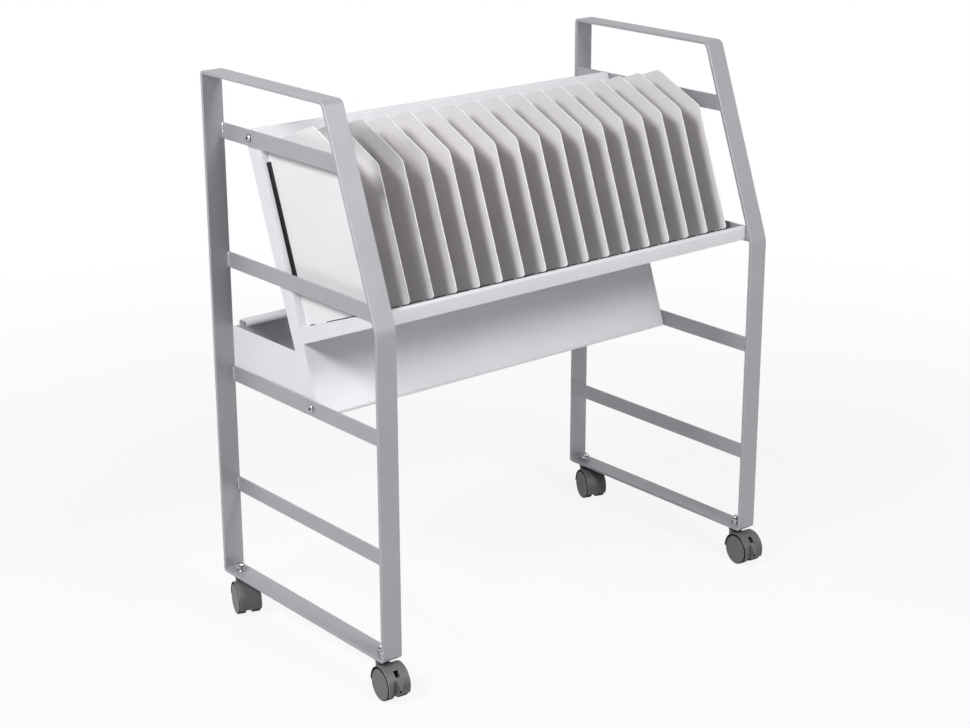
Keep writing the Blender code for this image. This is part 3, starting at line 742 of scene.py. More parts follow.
# The hoods' lighter edges are a painted highlight along their rims.
HOOD_NYLON = Finish("hood_nylon", Slot.CASTER, (0.112, 0.112, 0.119), roughness=0.48, mottle=0.05,
                    fine_scale=1600, mottle_scale=40, bump=0.1, wear_and_highlight=1.6,
                    wear_and_highlight_colour=(0.3, 0.3, 0.31), dust=0.08)
WHEEL_NYLON = Finish("wheel_nylon", Slot.WHEEL, (0.132, 0.132, 0.137), roughness=0.5, mottle=0.06,
                     fine_scale=1600, mottle_scale=60, bump=0.1, wear_and_highlight=0.5,
                     wear_and_highlight_colour=(0.22, 0.22, 0.22), edge_noise_scale=150, dust=0.08)
TYRE_NYLON = Finish("tyre_nylon", Slot.WHEEL, (0.01, 0.01, 0.011), roughness=0.6, mottle=0.08,
                    fine_scale=1600, mottle_scale=80, bump=0.1, specular=0.2)
# Black for strips that stand in as painted shade in the gaps under the dividers and in the cable slots.
SHADE_BLACK = Finish("painted_shade_black", Slot.DARK, (0.012, 0.012, 0.013), roughness=0.6, mottle=0.1,
                      fine_scale=1200, mottle_scale=60, bump=0.15)
BLACK_COLLAR = Finish("black_collar", Slot.DARK, (0.015, 0.015, 0.017), roughness=0.5, mottle=0.08,
                      fine_scale=1200, mottle_scale=50, bump=0.08)
BRIGHT_STEEL = Finish("bright_steel", Slot.STEEL, (0.6, 0.6, 0.61), roughness=0.28, metallic=1.0,
                      mottle=0.05, fine_scale=1500, mottle_scale=90, bump=0.05)
WELD_METAL = Finish("weld_metal", Slot.STEEL, (0.5, 0.505, 0.52), roughness=0.34, metallic=0.85,
                    mottle=0.08, fine_scale=700, mottle_scale=120, bump=0.35)
# On chrome the strong blotches are a painted reflection, the lighter edges a painted highlight, and the
# darkened creases painted shade.
CHROME = Finish("chrome_plate", Slot.CHROME, (0.5, 0.5, 0.51), roughness=0.16, metallic=1.0,
                mottle=0.6, fine_scale=1500, mottle_scale=190, bump=0.03, wear_and_highlight=1.0,
                wear_and_highlight_colour=(0.9, 0.9, 0.9))


def add_piece(name: str, surface: Surface, finish: Finish, body: str, nodes: tuple[str, ...] = (),
              outward: bool = True) -> bpy.types.Object:
    """Make a piece of the cart from a surface, shifted to where the CAD has the frames' middle.

    Args:
        name: name of the piece.
        surface: its shape.
        finish: its finish.
        body: the CAD body that it rides on.
        nodes: the CAD nodes that it stands for.
        outward: whether the surface is closed, and its faces are to be turned outwards.

    Returns:
        The piece.
    """
    mesh = bpy.data.meshes.new(name)
    faces = surface.quads.tolist() + [cap.tolist() for cap in surface.caps]
    mesh.from_pydata((surface.corners + MIDDLE).tolist(), [], faces)
    if outward:
        shape = bmesh.new()
        shape.from_mesh(mesh)
        bmesh.ops.recalc_face_normals(shape, faces=shape.faces)
        shape.to_mesh(mesh)
        shape.free()
    if surface.edge is not None:
        marks = mesh.attributes.new("edge", "FLOAT", "POINT")
        marks.data.foreach_set("value", surface.edge.astype(np.float32))
    mesh.shade_smooth()
    mesh.set_sharp_from_angle(angle=SHARP)
    mesh.materials.append(finish.material())
    piece = bpy.data.objects.new(name, mesh)
    bpy.context.scene.collection.objects.link(piece)
    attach(piece, body)
    if nodes:
        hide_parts(*nodes)
    log.info("%s: %d corners on body %s", name, len(mesh.vertices), body)
    return piece


# The cart


@dataclass(frozen=True)
class Layout:
    """The sizes that the cart's sub-assemblies share."""

    width: float = 787 * MM
    depth: float = 428 * MM
    height: float = 815 * MM
    knee: float = 506 * MM
    underside: float = 58 * MM
    bar: float = 35 * MM
    bar_thickness: float = 5 * MM
    rung_height: float = 25 * MM
    rung_thickness: float = 3 * MM
    gap: float = 0.3 * MM
    tilt: float = math.radians(20)
    panel_setback: float = 188.4 * MM
    lip_setback: float = 15 * MM
    sheet: float = 1.5 * MM
    bend: float = 2.5 * MM
    panel_height: float = 304 * MM
    trough_floor: float = 320 * MM
    upper_rung: float = 708 * MM
    low_rung: float = 133 * MM
    end_strip: float = 26 * MM

    @property
    def inner_face(self) -> float:
        """X of the frames' inner faces."""
        return self.width / 2 - self.bar

    @property
    def shelf_depth(self) -> float:
        """Depth of the shelf along its slope."""
        return (self.depth - self.panel_setback - self.lip_setback) / math.cos(self.tilt)

    def seat(self, depth: float, height: float) -> Array:
        """Turn a depth behind the front and a height over the bottom bar into (y, z)."""
        return np.array([depth - self.depth / 2, self.underside + height])

    def on_tray(self, forward: float, upward: float) -> Array:
        """Turn distances from the tray's inner corner into (y, z).

        Args:
            forward: distance along the shelf.
            upward: distance along the back panel.

        Returns:
            The (y, z) point.
        """
        corner = self.seat(self.depth - self.panel_setback,
                           self.knee + self.rung_height - self.shelf_depth * math.sin(self.tilt))
        sine, cosine = math.sin(self.tilt), math.cos(self.tilt)
        return corner + np.array([upward * sine - forward * cosine, forward * sine + upward * cosine])

    def panel_line(self, forward: float, height: float) -> Array:
        """Return the (y, z) point at a height on the line parallel to the back panel."""
        rise = self.underside + height - self.on_tray(forward, 0)[1]
        return self.on_tray(forward, rise / math.cos(self.tilt))

    def bolts(self) -> dict[str, Array]:
        """Give the (y, z) places of the tray bolts.

        Returns:
            The middle of each bolted rung where the end plate's strip crosses it.
        """
        middle, half = self.rung_height / 2, self.end_strip / 2
        levels = {"upper": self.upper_rung, "trough": self.trough_floor}
        return {name: self.panel_line(-half, level + middle) for name, level in levels.items()}


@dataclass
class SideFrame:
    """One bent flat-bar loop with its four rungs and their weld beads."""

    layout: Layout
    side: Side
    edge: float = 0.9 * MM
    handle_setback: float = 114 * MM
    corner: float = 6 * MM
    handle_radius: float = 12 * MM
    knee_radius: float = 40 * MM
    bend_steps: int = 12
    rung_edge: float = 0.6 * MM
    rung_end_points: int = 7
    bead: Bead = Bead()
    bead_shift: tuple[float, float] = (0.4 * MM, 0.7 * MM)

    def loop(self) -> Path:
        """Give the loop's outer line.

        Returns:
            The line from the back foot over the handle to the front foot.
        """
        lay = self.layout
        corners = np.array([lay.seat(lay.depth, 0), lay.seat(lay.depth, lay.height),
                            lay.seat(self.handle_setback, lay.height), lay.seat(0, lay.knee),
                            lay.seat(0, 0)])
        radii = [self.corner, self.corner, self.handle_radius, self.knee_radius, self.corner]
        return rounded(corners, radii, True, self.bend_steps)

    def levels(self) -> dict[str, float]:
        """Give the rungs' places.

        Returns:
            The height of each rung's lower edge over the bottom bar.
        """
        lay = self.layout
        return {"upper": lay.upper_rung, "knee": lay.knee, "trough": lay.trough_floor,
                "low": lay.low_rung}

    def front_line(self, level: float) -> Array:
        """Give the line along which a rung meets the front bar.

        The loop's line, moved in by the bar's thickness, is read off at even heights.

        Args:
            level: height of the rung's lower edge over the bottom bar.

        Returns:
            Rows of (y, z) from the rung's lower edge to its upper edge.
        """
        loop = self.loop()
        line = loop.points + loop.inward * (self.layout.bar_thickness + self.layout.gap)
        points_per_bend = self.bend_steps + 3
        front = line[2 * points_per_bend:][::-1]
        low = self.layout.underside + level
        heights = np.linspace(low, low + self.layout.rung_height, self.rung_end_points)
        return np.stack([np.interp(heights, front[:, 1], front[:, 0]), heights], axis=1)

    def across(self, low: float, high: float) -> tuple[float, float]:
        """Return a pair of distances from the inner face outwards as ordered x places."""
        ends = [self.side.value * (self.layout.inner_face + value) for value in (low, high)]
        return min(ends), max(ends)

    def build(self) -> None:
        """Build the loop, the rungs and the beads."""
        lay, name = self.layout, self.side.name.lower()
        section, edge = bar_section(lay.bar_thickness, *self.across(0, lay.bar), self.edge)
        add_piece(f"bar_loop_{name}", carried(self.loop(), section, edge, True, True),
                  SILVER_PAINT, "cart", (f"frame_loop_{name}",))
        beads = []
        back = lay.depth - lay.bar_thickness - lay.gap
        levels = self.levels()
        for number, (rung, level) in enumerate(levels.items()):
            front = self.front_line(level)
            rear = np.array([lay.seat(back, level + lay.rung_height), lay.seat(back, level)])
            outline = mitred(np.concatenate([rear, front])[::-1], True)
            bar = plate(outline, *self.across(0, lay.rung_thickness), self.rung_edge)
            add_piece(f"rung_bar_{name}_{rung}", bar, SILVER_PAINT, "cart", (f"rung_{name}_{rung}",))
            beads += [self.bead_at(rear[::-1], -1, number),
                      self.bead_at(front, 1, number + len(levels))]
        add_piece(f"weld_beads_{name}", joined(beads), WELD_METAL, "cart")

    def bead_at(self, line: Array, toward: int, seed: int) -> Surface:
        """Give the bead at one end of a rung, in the corner of the rung's outer face and the bar.

        Args:
            line: rows of (y, z) along the end, from its lower edge.
            toward: the sign of Y from the bar to the rung.
            seed: picks the bead's ripples.

        Returns:
            The bead.
        """
        sign, (out, off) = self.side.value, self.bead_shift
        face = sign * (self.layout.inner_face + self.layout.rung_thickness + out)
        shifted = line + np.array([toward * off, 0])
        points = np.concatenate([np.full((len(line), 1), face), shifted], axis=1)
        return self.bead.laid(points, np.array([float(sign), 0, 0]), seed)


@dataclass
class TrayRack:
    """The folded tray with its trough, end plates and dividers, and black strips painted in as the shade
    of its gaps.
    """

    layout: Layout
    panel_return: float = 12 * MM
    lip_height: float = 22 * MM
    end_band: float = 23 * MM
    plate_corner: float = 5 * MM
    flange: float = 20 * MM
    side_height: float = 91 * MM
    rear_height: float = 104 * MM
    rear_setback: float = 21 * MM
    end_setback: float = 4 * MM
    hem_depth: float = 20 * MM
    hem_drop: float = 6 * MM
    divider_count: int = 17
    end_bay: float = 14.5 * MM
    divider_thickness: float = 1.5 * MM
    divider_setback: float = 28 * MM
    divider_height: float = 280.5 * MM
    divider_chamfer: float = 75 * MM
    divider_corner: float = 14 * MM
    foot_corner: float = 4.5 * MM
    divider_edge: float = 0.4 * MM
    tab_depth: float = 3.5 * MM
    rear_tab: float = 31.5 * MM
    rear_tab_setback: float = 23.5 * MM
    front_tab: float = 5.5 * MM
    front_tab_inset: float = 22 * MM
    relief_start: float = 8.5 * MM
    panel_tab: float = 18 * MM
    panel_tab_low: float = 24 * MM
    panel_tab_high: float = 258 * MM
    foot_relief: float = 3 * MM
    slot_width: float = 12 * MM
    slot_length: float = 186 * MM
    slot_level: float = 66 * MM
    slot_relief: float = 6 * MM
    cut_edge: float = 0.25 * MM
    fold_support: float = 0.6 * MM
    fold_steps: int = 6
    weld_share: float = 0.9
    # Sizes of the black strips that stand in as painted shade in the gaps.
    shade_strip_edge: float = 0.2 * MM
    shade_strip_slack: float = 0.1 * MM
    shade_strip_lap: float = 1.5 * MM
    shade_strip_shares: tuple[float, float] = (0.8, 0.2)

    @property
    def end_x(self) -> float:
        """X of the tray sheet's ends, which are welded to the end plates."""
        return self.layout.inner_face - self.layout.gap - self.weld_share * self.layout.sheet

    @property
    def divider_depth(self) -> float:
        """Depth of a divider along the shelf."""
        return self.layout.shelf_depth - self.divider_setback

    @property
    def slot(self) -> tuple[float, float]:
        """Where a cable slot starts and ends along the back panel."""
        return self.slot_level, self.slot_level + self.slot_length

    def foot_tabs(self) -> list[tuple[float, float]]:
        """Find where the foot tabs of a divider are.

        Returns:
            Where the rear and the front tab start and end along the shelf.
        """
        front_end = self.divider_depth - self.front_tab_inset
        return [(self.rear_tab_setback, self.rear_tab_setback + self.rear_tab),
                (front_end - self.front_tab, front_end)]

    def panel_tabs(self) -> list[tuple[float, float]]:
        """Return where each rear tab of a divider starts and ends along the back panel."""
        return [(low, low + self.panel_tab) for low in (self.panel_tab_low, self.panel_tab_high)]

    def centres(self) -> Array:
        """Return the X place of each divider."""
        half = self.layout.inner_face - self.end_bay
        return np.linspace(-half, half, self.divider_count)

    def tray_points(self, corners: list[tuple[float, float]]) -> Array:
        """Return (forward, upward) places on the tray as (y, z) rows."""
        return np.array([self.layout.on_tray(*corner) for corner in corners])

    def build(self) -> None:
        """Build the tray from its folded sheet outwards."""
        self.build_sheet()
        self.build_trough()
        for side in Side:
            self.build_end_plate(side)
        outline = self.divider_outline()
        half = self.divider_thickness / 2
        for number, x in enumerate(self.centres(), start=1):
            divider = plate(outline, x - half, x + half, self.divider_edge)
            add_piece(f"divider_plate_{number:02d}", divider, DIVIDER_PAINT, "cart",
                      (f"divider_{number:02d}",))
        self.build_shade_strips()

    def folds(self, corners: Array, radii: list[float]) -> Path:
        """Return the line of a sheet's outer face, with its folds as arcs."""
        return rounded(corners, radii, False, self.fold_steps, self.fold_support)

    def folded(self, name: str, path: Path, columns: Array, left_out: Array,
               nodes: tuple[str, ...]) -> None:
        """Fold a sheet: a grid of corners (x, p), with p along the path, given its thickness.

        Args:
            name: name of the piece.
            path: the sheet's outer face in the YZ plane.
            columns: the x places of the grid.
            left_out: which cells of the grid are slots.
            nodes: the CAD nodes that the sheet stands for.
        """
        rows, count = len(path.points), len(columns)
        across = np.broadcast_to(columns[None, :, None], (rows, count, 1))
        place = np.broadcast_to(path.points[:, None, :], (rows, count, 2))
        corners = np.concatenate([across, place], axis=2).reshape(-1, 3)
        quads = grid_quads(rows, count, False, False)[~left_out.reshape(-1)]
        piece = add_piece(name, Surface(corners, quads), WHITE_PAINT, "cart", nodes, outward=False)
        skin = piece.modifiers.new("sheet", "SOLIDIFY")
        skin.thickness, skin.offset, skin.use_even_offset = self.layout.sheet, -1, True
        soft = piece.modifiers.new("cut_edges", "BEVEL")
        soft.width, soft.segments = self.cut_edge, 2
        soft.limit_method, soft.angle_limit = "ANGLE", SHARP

    def build_sheet(self) -> None:
        """Build lip, shelf, panel and return as one folded sheet with its slots."""
        lay, centres = self.layout, self.centres()
        lip = lay.on_tray(lay.shelf_depth, 0)
        corners = np.array([lip - [0, self.lip_height], lip, lay.on_tray(0, 0),
                            lay.on_tray(0, lay.panel_height),
                            lay.on_tray(-self.panel_return, lay.panel_height)])
        folds = self.folds(corners, [0, lay.bend, lay.bend, lay.bend + lay.sheet, 0])
        gap, tab, cable = lay.gap, self.divider_thickness / 2 + lay.gap, self.slot_width / 2
        spans = [([lay.on_tray(low - gap, 0), lay.on_tray(high + gap, 0)], tab)
                 for low, high in self.foot_tabs()]
        spans += [([lay.on_tray(0, low - gap), lay.on_tray(0, high + gap)], tab)
                  for low, high in self.panel_tabs()]
        spans += [([lay.on_tray(0, end) for end in self.slot], cable)]
        slots = [(sorted(folds.where(point) for point in ends), half) for ends, half in spans]
        folds = folds.refined(np.array([stop for ends, half in slots for stop in ends]))
        across = (centres[:, None] + np.array([-cable, -tab, tab, cable])).reshape(-1)
        columns = np.concatenate([[-self.end_x], across, [self.end_x]])
        along = folds.distances()
        middle = (along[1:] + along[:-1])[:, None] / 2
        off = np.abs((columns[1:] + columns[:-1])[:, None] / 2 - centres).min(axis=1)
        left_out = np.any([(middle > ends[0]) & (middle < ends[1]) & (off < half)
                           for ends, half in slots], axis=0)
        self.folded("tray_fold", folds, columns, left_out, ("tray_sheet",))

    def build_trough(self) -> None:
        """Build the trough's front wall, floor, rear wall and hem as one folded sheet."""
        lay = self.layout
        floor, rear = lay.trough_floor, lay.depth - self.rear_setback
        rim, hem = floor + self.rear_height, rear - self.hem_depth
        corners = np.array([lay.on_tray(0, self.weld_share * lay.bend), lay.panel_line(0, floor),
                            lay.seat(rear, floor), lay.seat(rear, rim), lay.seat(hem, rim),
                            lay.seat(hem, rim - self.hem_drop)])
        folds = self.folds(corners, [0] + [lay.bend + lay.sheet] * 4 + [0])
        folds = Path(folds.points[::-1], folds.inward[::-1])
        columns = np.array([-self.end_x, self.end_x])
        left_out = np.zeros((len(folds.points) - 1, 1), bool)
        self.folded("trough_fold", folds, columns, left_out, ())

    def build_end_plate(self, side: Side) -> None:
        """Build the plate that closes shelf, panel and trough at one end, with its rear flange.

        Args:
            side: the end.
        """
        lay = self.layout
        top = lay.trough_floor + self.side_height
        rear = lay.depth - self.end_setback
        lip = lay.on_tray(lay.shelf_depth, 0)
        high, floor, strip, band = lay.panel_height, lay.trough_floor, lay.end_strip, self.end_band
        corners = np.array([
            lay.on_tray(lay.shelf_depth - lay.sheet, 0), lay.on_tray(0, 0), lay.on_tray(0, high),
            lay.on_tray(-strip, high), lay.panel_line(-strip, top), lay.seat(rear, top),
            lay.seat(rear, floor), lay.panel_line(0, floor), lay.on_tray(0, -band),
            lip + [band / 2, -band], lip - [0, self.lip_height]])
        thin, soft = lay.sheet, self.plate_corner
        radii = [thin, thin, thin, soft, thin, thin, thin, soft, thin, soft, thin]
        outline = rounded(corners[::-1], radii[::-1], True, self.fold_steps - 1)
        outer = side.value * (lay.inner_face - lay.gap)
        inner = outer - side.value * thin
        face = plate(outline, min(outer, inner), max(outer, inner), self.cut_edge)
        low, high = lay.seat(rear - thin, floor + thin), lay.seat(rear, top - thin)
        square = np.array([low, [high[0], low[1]], high, [low[0], high[1]]])
        ends = sorted([outer - side.value * self.flange, outer - side.value * thin / 2])
        flange = plate(mitred(square, True), *ends, self.cut_edge)
        name = side.name.lower()
        add_piece(f"tray_end_{name}", joined([face, flange]), WHITE_PAINT, "cart",
                  (f"end_plate_{name}",))

    def divider_outline(self) -> Path:
        """Give a divider's outline: foot tabs, cut-off front corner, rear tabs and cable relief.

        Returns:
            The outline in the YZ plane, from its corners in the tray's own directions.
        """
        gap, relief, depth = self.layout.gap, self.foot_relief, self.divider_depth
        top, cut, tab = self.divider_height, self.divider_chamfer, self.tab_depth
        rows: list[tuple[float, float, float]] = [(self.relief_start, gap, 0),
                                                  (self.relief_start, relief, 0)]
        for start, end in self.foot_tabs():
            rows += [(start, relief, 0), (start, -tab, 0), (end, -tab, 0), (end, relief, 0)]
        rows += [(depth, relief, self.foot_corner), (depth, top - cut, self.divider_corner),
                 (depth - cut, top, self.divider_corner), (gap, top, self.foot_corner)]
        lower, upper = self.panel_tabs()
        for (low, high), reach in ((upper, -tab), (self.slot, self.slot_relief), (lower, -tab)):
            rows += [(gap, high, 0), (reach, high, 0), (reach, low, 0), (gap, low, 0)]
        bend = self.layout.bend + gap
        rows += [(gap, bend, 0), (bend, gap, 0)]
        corners = self.tray_points([(u, v) for u, v, radius in rows])
        radii = [radius for u, v, radius in rows]
        return rounded(corners[::-1], radii[::-1], True, self.fold_steps)

    def block(self, low: tuple[float, float], high: tuple[float, float],
              ends: tuple[float, float]) -> Surface:
        """Give a black strip with softened edges, square to the tray.

        Args:
            low: (forward, upward) of one corner.
            high: (forward, upward) of the opposite corner.
            ends: lowest and highest x.

        Returns:
            The strip.
        """
        corners = self.tray_points([low, (low[0], high[1]), high, (high[0], low[1])])
        return plate(mitred(corners, True), *ends, self.shade_strip_edge)

    def build_shade_strips(self) -> None:
        """Build black strips that stand in as painted shade in the gaps under the dividers and in the
        cable slots.
        """
        slack, (rear, front) = self.shade_strip_slack, self.foot_tabs()
        half, relief = self.divider_thickness / 2 - slack, self.foot_relief - slack / 2
        spans = [(self.relief_start + slack, rear[0] - slack), (rear[1] + slack, front[0] - slack),
                 (front[1] + slack, self.divider_depth + self.shade_strip_lap)]
        under_strips = [self.block((start, slack), (end, relief), (x - half, x + half))
                for x in self.centres() for start, end in spans]
        add_piece("divider_gap_shade", joined(under_strips), SHADE_BLACK, "cart")
        rear_face, front_face = (-share * self.layout.sheet for share in self.shade_strip_shares)
        width, (low, high) = self.slot_width / 2, self.slot
        slot_strips = [self.block((rear_face, low), (front_face, high), (x - width, x + width))
                 for x in self.centres()]
        add_piece("slot_gap_shade", joined(slot_strips), SHADE_BLACK, "cart")


@dataclass
class TrayBolts:
    """The button-head bolts that hold the tray to the rungs, with their nuts inside."""

    layout: Layout
    diameter: float = 6 * MM
    head: float = 11.5 * MM
    head_height: float = 3.3 * MM
    socket: float = 4 * MM
    socket_depth: float = 2 * MM
    nut: float = 10 * MM
    nut_height: float = 5 * MM
    nut_chamfer: float = 0.6 * MM
    tail: float = 2 * MM
    rim_share: float = 0.3
    dome_end: float = math.pi / 2 * 0.82
    dome_rows: int = 9

    def shape(self) -> Surface:
        """Give a bolt about Z: domed head with a hexagon socket, and a shank with its nut.

        From the rim in, with t from 0 to dome_end, the head's radius falls by half a radius times
        sin(t)^2, and its height grows by the rest of the head's height times sin(t).

        Returns:
            Two closed surfaces of turned rows, the head with its socket and the shank with its nut.
        """
        gap, high, radius = self.layout.gap, self.head_height, self.head / 2
        rise = np.sin(np.linspace(0, self.dome_end, self.dome_rows))
        dome = np.stack([radius - 0.5 * radius * rise**2,
                         gap + high * self.rim_share + high * (1 - self.rim_share) * rise], axis=1)
        top, socket, deep = float(dome[-1, 1]), self.socket / 2, self.socket_depth
        rows = [(radius * 0.93, gap, 0, 1), (radius, gap + 0.2 * MM, 0, 1)]
        rows += [(r, h, 0, 1) for r, h in dome]
        rows += [(socket * 1.25, top + 0.02 * MM, 0, 1), (socket, top - 0.15 * MM, 1, 1),
                 (socket, top - deep, 1, 1), (socket * 0.5, top - deep * 1.1, 0, 1)]
        # Painted shade darkens the head's foot against the rung and its socket; the dome's mark lightens
        # it slightly as a painted highlight.
        edge_marks = [-1, -0.9, -0.6, *[0.1] * (self.dome_rows - 1), 0, -1, -1, -1]
        head = turned(np.array(rows), edge=np.array(edge_marks))
        grip = self.layout.rung_thickness + 2 * gap + self.layout.sheet
        nut, shank, cut = self.nut / 2, self.diameter / 2, self.nut_chamfer
        end, crown = -grip - self.nut_height, nut * 1.1
        rows = [(shank * 0.8, end - self.tail, 0, 1), (shank, end - self.tail * 0.8, 0, 1),
                (shank, end, 0, 1), (nut, end, 1, crown), (nut, end + cut, 1, 1),
                (nut, -grip - cut, 1, 1), (nut, -grip, 1, crown), (shank, -grip, 0, 1),
                (shank, gap * 1.2, 0, 1)]
        return joined([head, turned(np.array(rows))])

    def build(self) -> None:
        """Build the four bolts."""
        shape = self.shape()
        for side in Side:
            for name, place in self.layout.bolts().items():
                start = side.value * (self.layout.inner_face + self.layout.rung_thickness)
                laid = shape.along_x(start, tuple(place), side.value)
                label = f"{side.name.lower()}_{name}"
                add_piece(f"button_bolt_{label}", laid, CHROME, "cart", (f"tray_bolt_{label}",))


@dataclass(frozen=True)
class CapNut:
    """A domed cap nut on its washer, seated on the plane Z = 0."""

    washer: float = 7.8 * MM
    washer_height: float = 1.5 * MM
    flat: float = 6.5 * MM
    flat_end: float = 7.5 * MM
    chamfer: float = 0.6 * MM
    dome: float = 6 * MM
    dome_step: float = 0.1 * MM
    dome_end: float = math.pi / 2 * 0.97
    dome_rows: int = 9

    def shape(self) -> Surface:
        """Give the nut: round washer, six flats with chamfered ends, and a dome over them.

        Returns:
            One closed surface of turned rows.
        """
        washer, base, flat, end = self.washer, self.washer_height, self.flat, self.flat_end
        crown, foot = flat * 1.1, end + self.dome_step
        rows = [(washer * 0.6, 0, 0, 1), (washer, 0, 0, 1), (washer, base * 0.8, 0, 1),
                (washer * 0.97, base, 0, 1), (crown, base, 0, 1), (flat, base, 1, crown),
                (flat, base + 0.5 * MM, 1, 1), (flat, end - self.chamfer, 1, 1),
                (flat, end, 1, crown), (self.dome, foot, 0, 1)]
        rows += [(self.dome * math.cos(a), foot + (self.dome - self.dome_step) * math.sin(a), 0, 1)
                 for a in np.linspace(0, self.dome_end, self.dome_rows + 1)[1:]]
        # Painted shade darkens under the washer and the creases at both ends of the flats; the flats'
        # top edge gets a painted highlight.
        edge_marks = [-1, -0.3, -0.2, 0, -1, -0.8, -0.3, 0, 0.6, -1, -0.7, -0.3]
        edge_marks += [0] * (len(rows) - len(edge_marks))
        return turned(np.array(rows), edge=np.array(edge_marks))


@dataclass
class Caster:
    """One twin-wheel caster with its stem, collar and cap nut, and a brake lever at the front."""

    layout: Layout
    place: CasterPlace
    cap_nut: CapNut = CapNut()
    setback: float = 25 * MM
    trail: float = 23 * MM
    wheel: float = 25 * MM
    wheel_inner: float = 6 * MM
    wheel_width: float = 12.5 * MM
    running: float = 1.8 * MM
    wall: float = 1.2 * MM
    tyre: float = 1.2 * MM
    edge: float = 0.45 * MM
    play: float = 0.1 * MM
    arc_step: float = 0.05
    web: float = 11.4 * MM
    neck: float = 10.5 * MM
    skirt: float = 1.8 * MM
    front_reach: float = math.radians(-24)
    rear_reach: float = math.radians(183)
    slot_half: float = 4.1 * MM
    slot_floor: float = 15 * MM
    slot_top: float = math.radians(60)
    slot_bottom: float = math.radians(-17)
    # How far painted shade darkens the slot's side and the notch's floor.
    slot_painted_shade: float = 0.4
    slot_lap: float = 0.4 * MM
    notch_top: float = math.radians(28)
    notch: tuple[float, float] = (0.41, 0.6)
    notch_floor_inset: float = 1.5 * MM
    notch_floor_drop: float = 0.7 * MM
    notch_lap: float = 0.04
    step: float = math.radians(9)
    step_drop: float = 0.5 * MM
    # How far painted shade darkens the band under the step.
    step_painted_shade: float = 0.08
    collar: float = 11.5 * MM
    stem: float = 4 * MM
    stem_grip: float = 24 * MM
    stem_thread: float = 9 * MM
    axle: float = 3 * MM
    axle_grip: float = 9 * MM
    hub: float = 6.5 * MM
    hub_bore: tuple[float, float] = (3.3 * MM, 9.3 * MM)
    hollow: tuple[float, float] = (20.5 * MM, 7.5 * MM)
    lever_half: float = 3.8 * MM
    lever_thickness: float = 4.5 * MM
    lever_toe: float = 1.2 * MM
    lever_taper: float = 4.2 * MM
    lever_ends: tuple[float, float] = (math.radians(-7), math.radians(33))
    lever_step: tuple[float, float] = (math.radians(-2), math.radians(4))

    @property
    def label(self) -> str:
        """The caster's name."""
        return self.place.name.lower()

    @property
    def hood(self) -> float:
        """Outer radius of the hood."""
        return self.wheel + self.running + self.wall

    @property
    def outer(self) -> float:
        """Half the hood's width: a hair less than over the wheels."""
        return self.wheel_inner + self.wheel_width - self.play

    @property
    def hood_top(self) -> float:
        """Height of the hood's top."""
        return self.wheel + self.hood

    def braked(self) -> bool:
        """Tell whether the caster has a brake."""
        return self.place.value[1] < 0

    def set_down(self, surface: Surface) -> Surface:
        """Turn and move a surface made about the stem to this caster's place.

        Args:
            surface: the surface.

        Returns:
            The surface in its place.
        """
        across, along, degrees = self.place.value
        sine, cosine = math.sin(math.radians(degrees)), math.cos(math.radians(degrees))
        x = across * (self.layout.width - self.layout.bar) / 2
        y = along * (self.layout.depth / 2 - self.setback)
        turn = np.array([[cosine, -sine, 0], [sine, cosine, 0], [0, 0, 1]])
        return surface.placed(turn, (x, y, 0))

    def on_axle(self, surface: Surface, start: float, sign: int) -> Surface:
        """Lay a surface made about Z along the axle, from start in the sign's direction."""
        return self.set_down(surface.along_x(start, (-self.trail, self.wheel), sign))

    def polar(self, radius: float, angle: Array) -> Array:
        """Return the (y, z) points about the axle, with angles measured up from the toe side."""
        return np.stack([-self.trail - radius * np.cos(angle),
                         self.wheel + radius * np.sin(angle)], axis=-1)

    def arc(self, radius: float, start: float, end: float, steps: int) -> Array:
        """Return (y, z) points on an arc about the axle."""
        return self.polar(radius, np.linspace(start, end, steps + 1))

    def build(self) -> None:
        """Build the caster from the stem down."""
        name = self.label
        self.build_stem()
        caster = f"caster_{name}"
        hood = self.set_down(self.hood_shape())
        add_piece(f"hood_shell_{name}", hood, HOOD_NYLON, caster, (f"hood_{name}",))
        reach, soft = self.wheel_inner + self.axle_grip, 0.5 * MM
        pin = turned(softened([(soft, -reach), (self.axle, -reach), (self.axle, reach), (soft, reach)],
                              [0, soft, soft, 0]), 32)
        add_piece(f"axle_pin_{name}", self.on_axle(pin, 0, 1), BRIGHT_STEEL, caster,
                  (f"axle_{name}",))
        for sign, letter in ((-1, "a"), (1, "b")):
            disc, tyre = (self.on_axle(shape, sign * self.wheel_inner, sign)
                          for shape in (self.disc_shape(), self.tyre_shape()))
            node = f"wheel_{name}_{letter}"
            add_piece(f"wheel_disc_{name}_{letter}", disc, WHEEL_NYLON, node, (node,))
            add_piece(f"wheel_tyre_{name}_{letter}", tyre, TYRE_NYLON, node)
        if self.braked():
            add_piece(f"brake_pedal_{name}", self.set_down(self.lever_shape()), HOOD_NYLON,
                      f"brake_{name}", (f"brake_lever_{name}",))

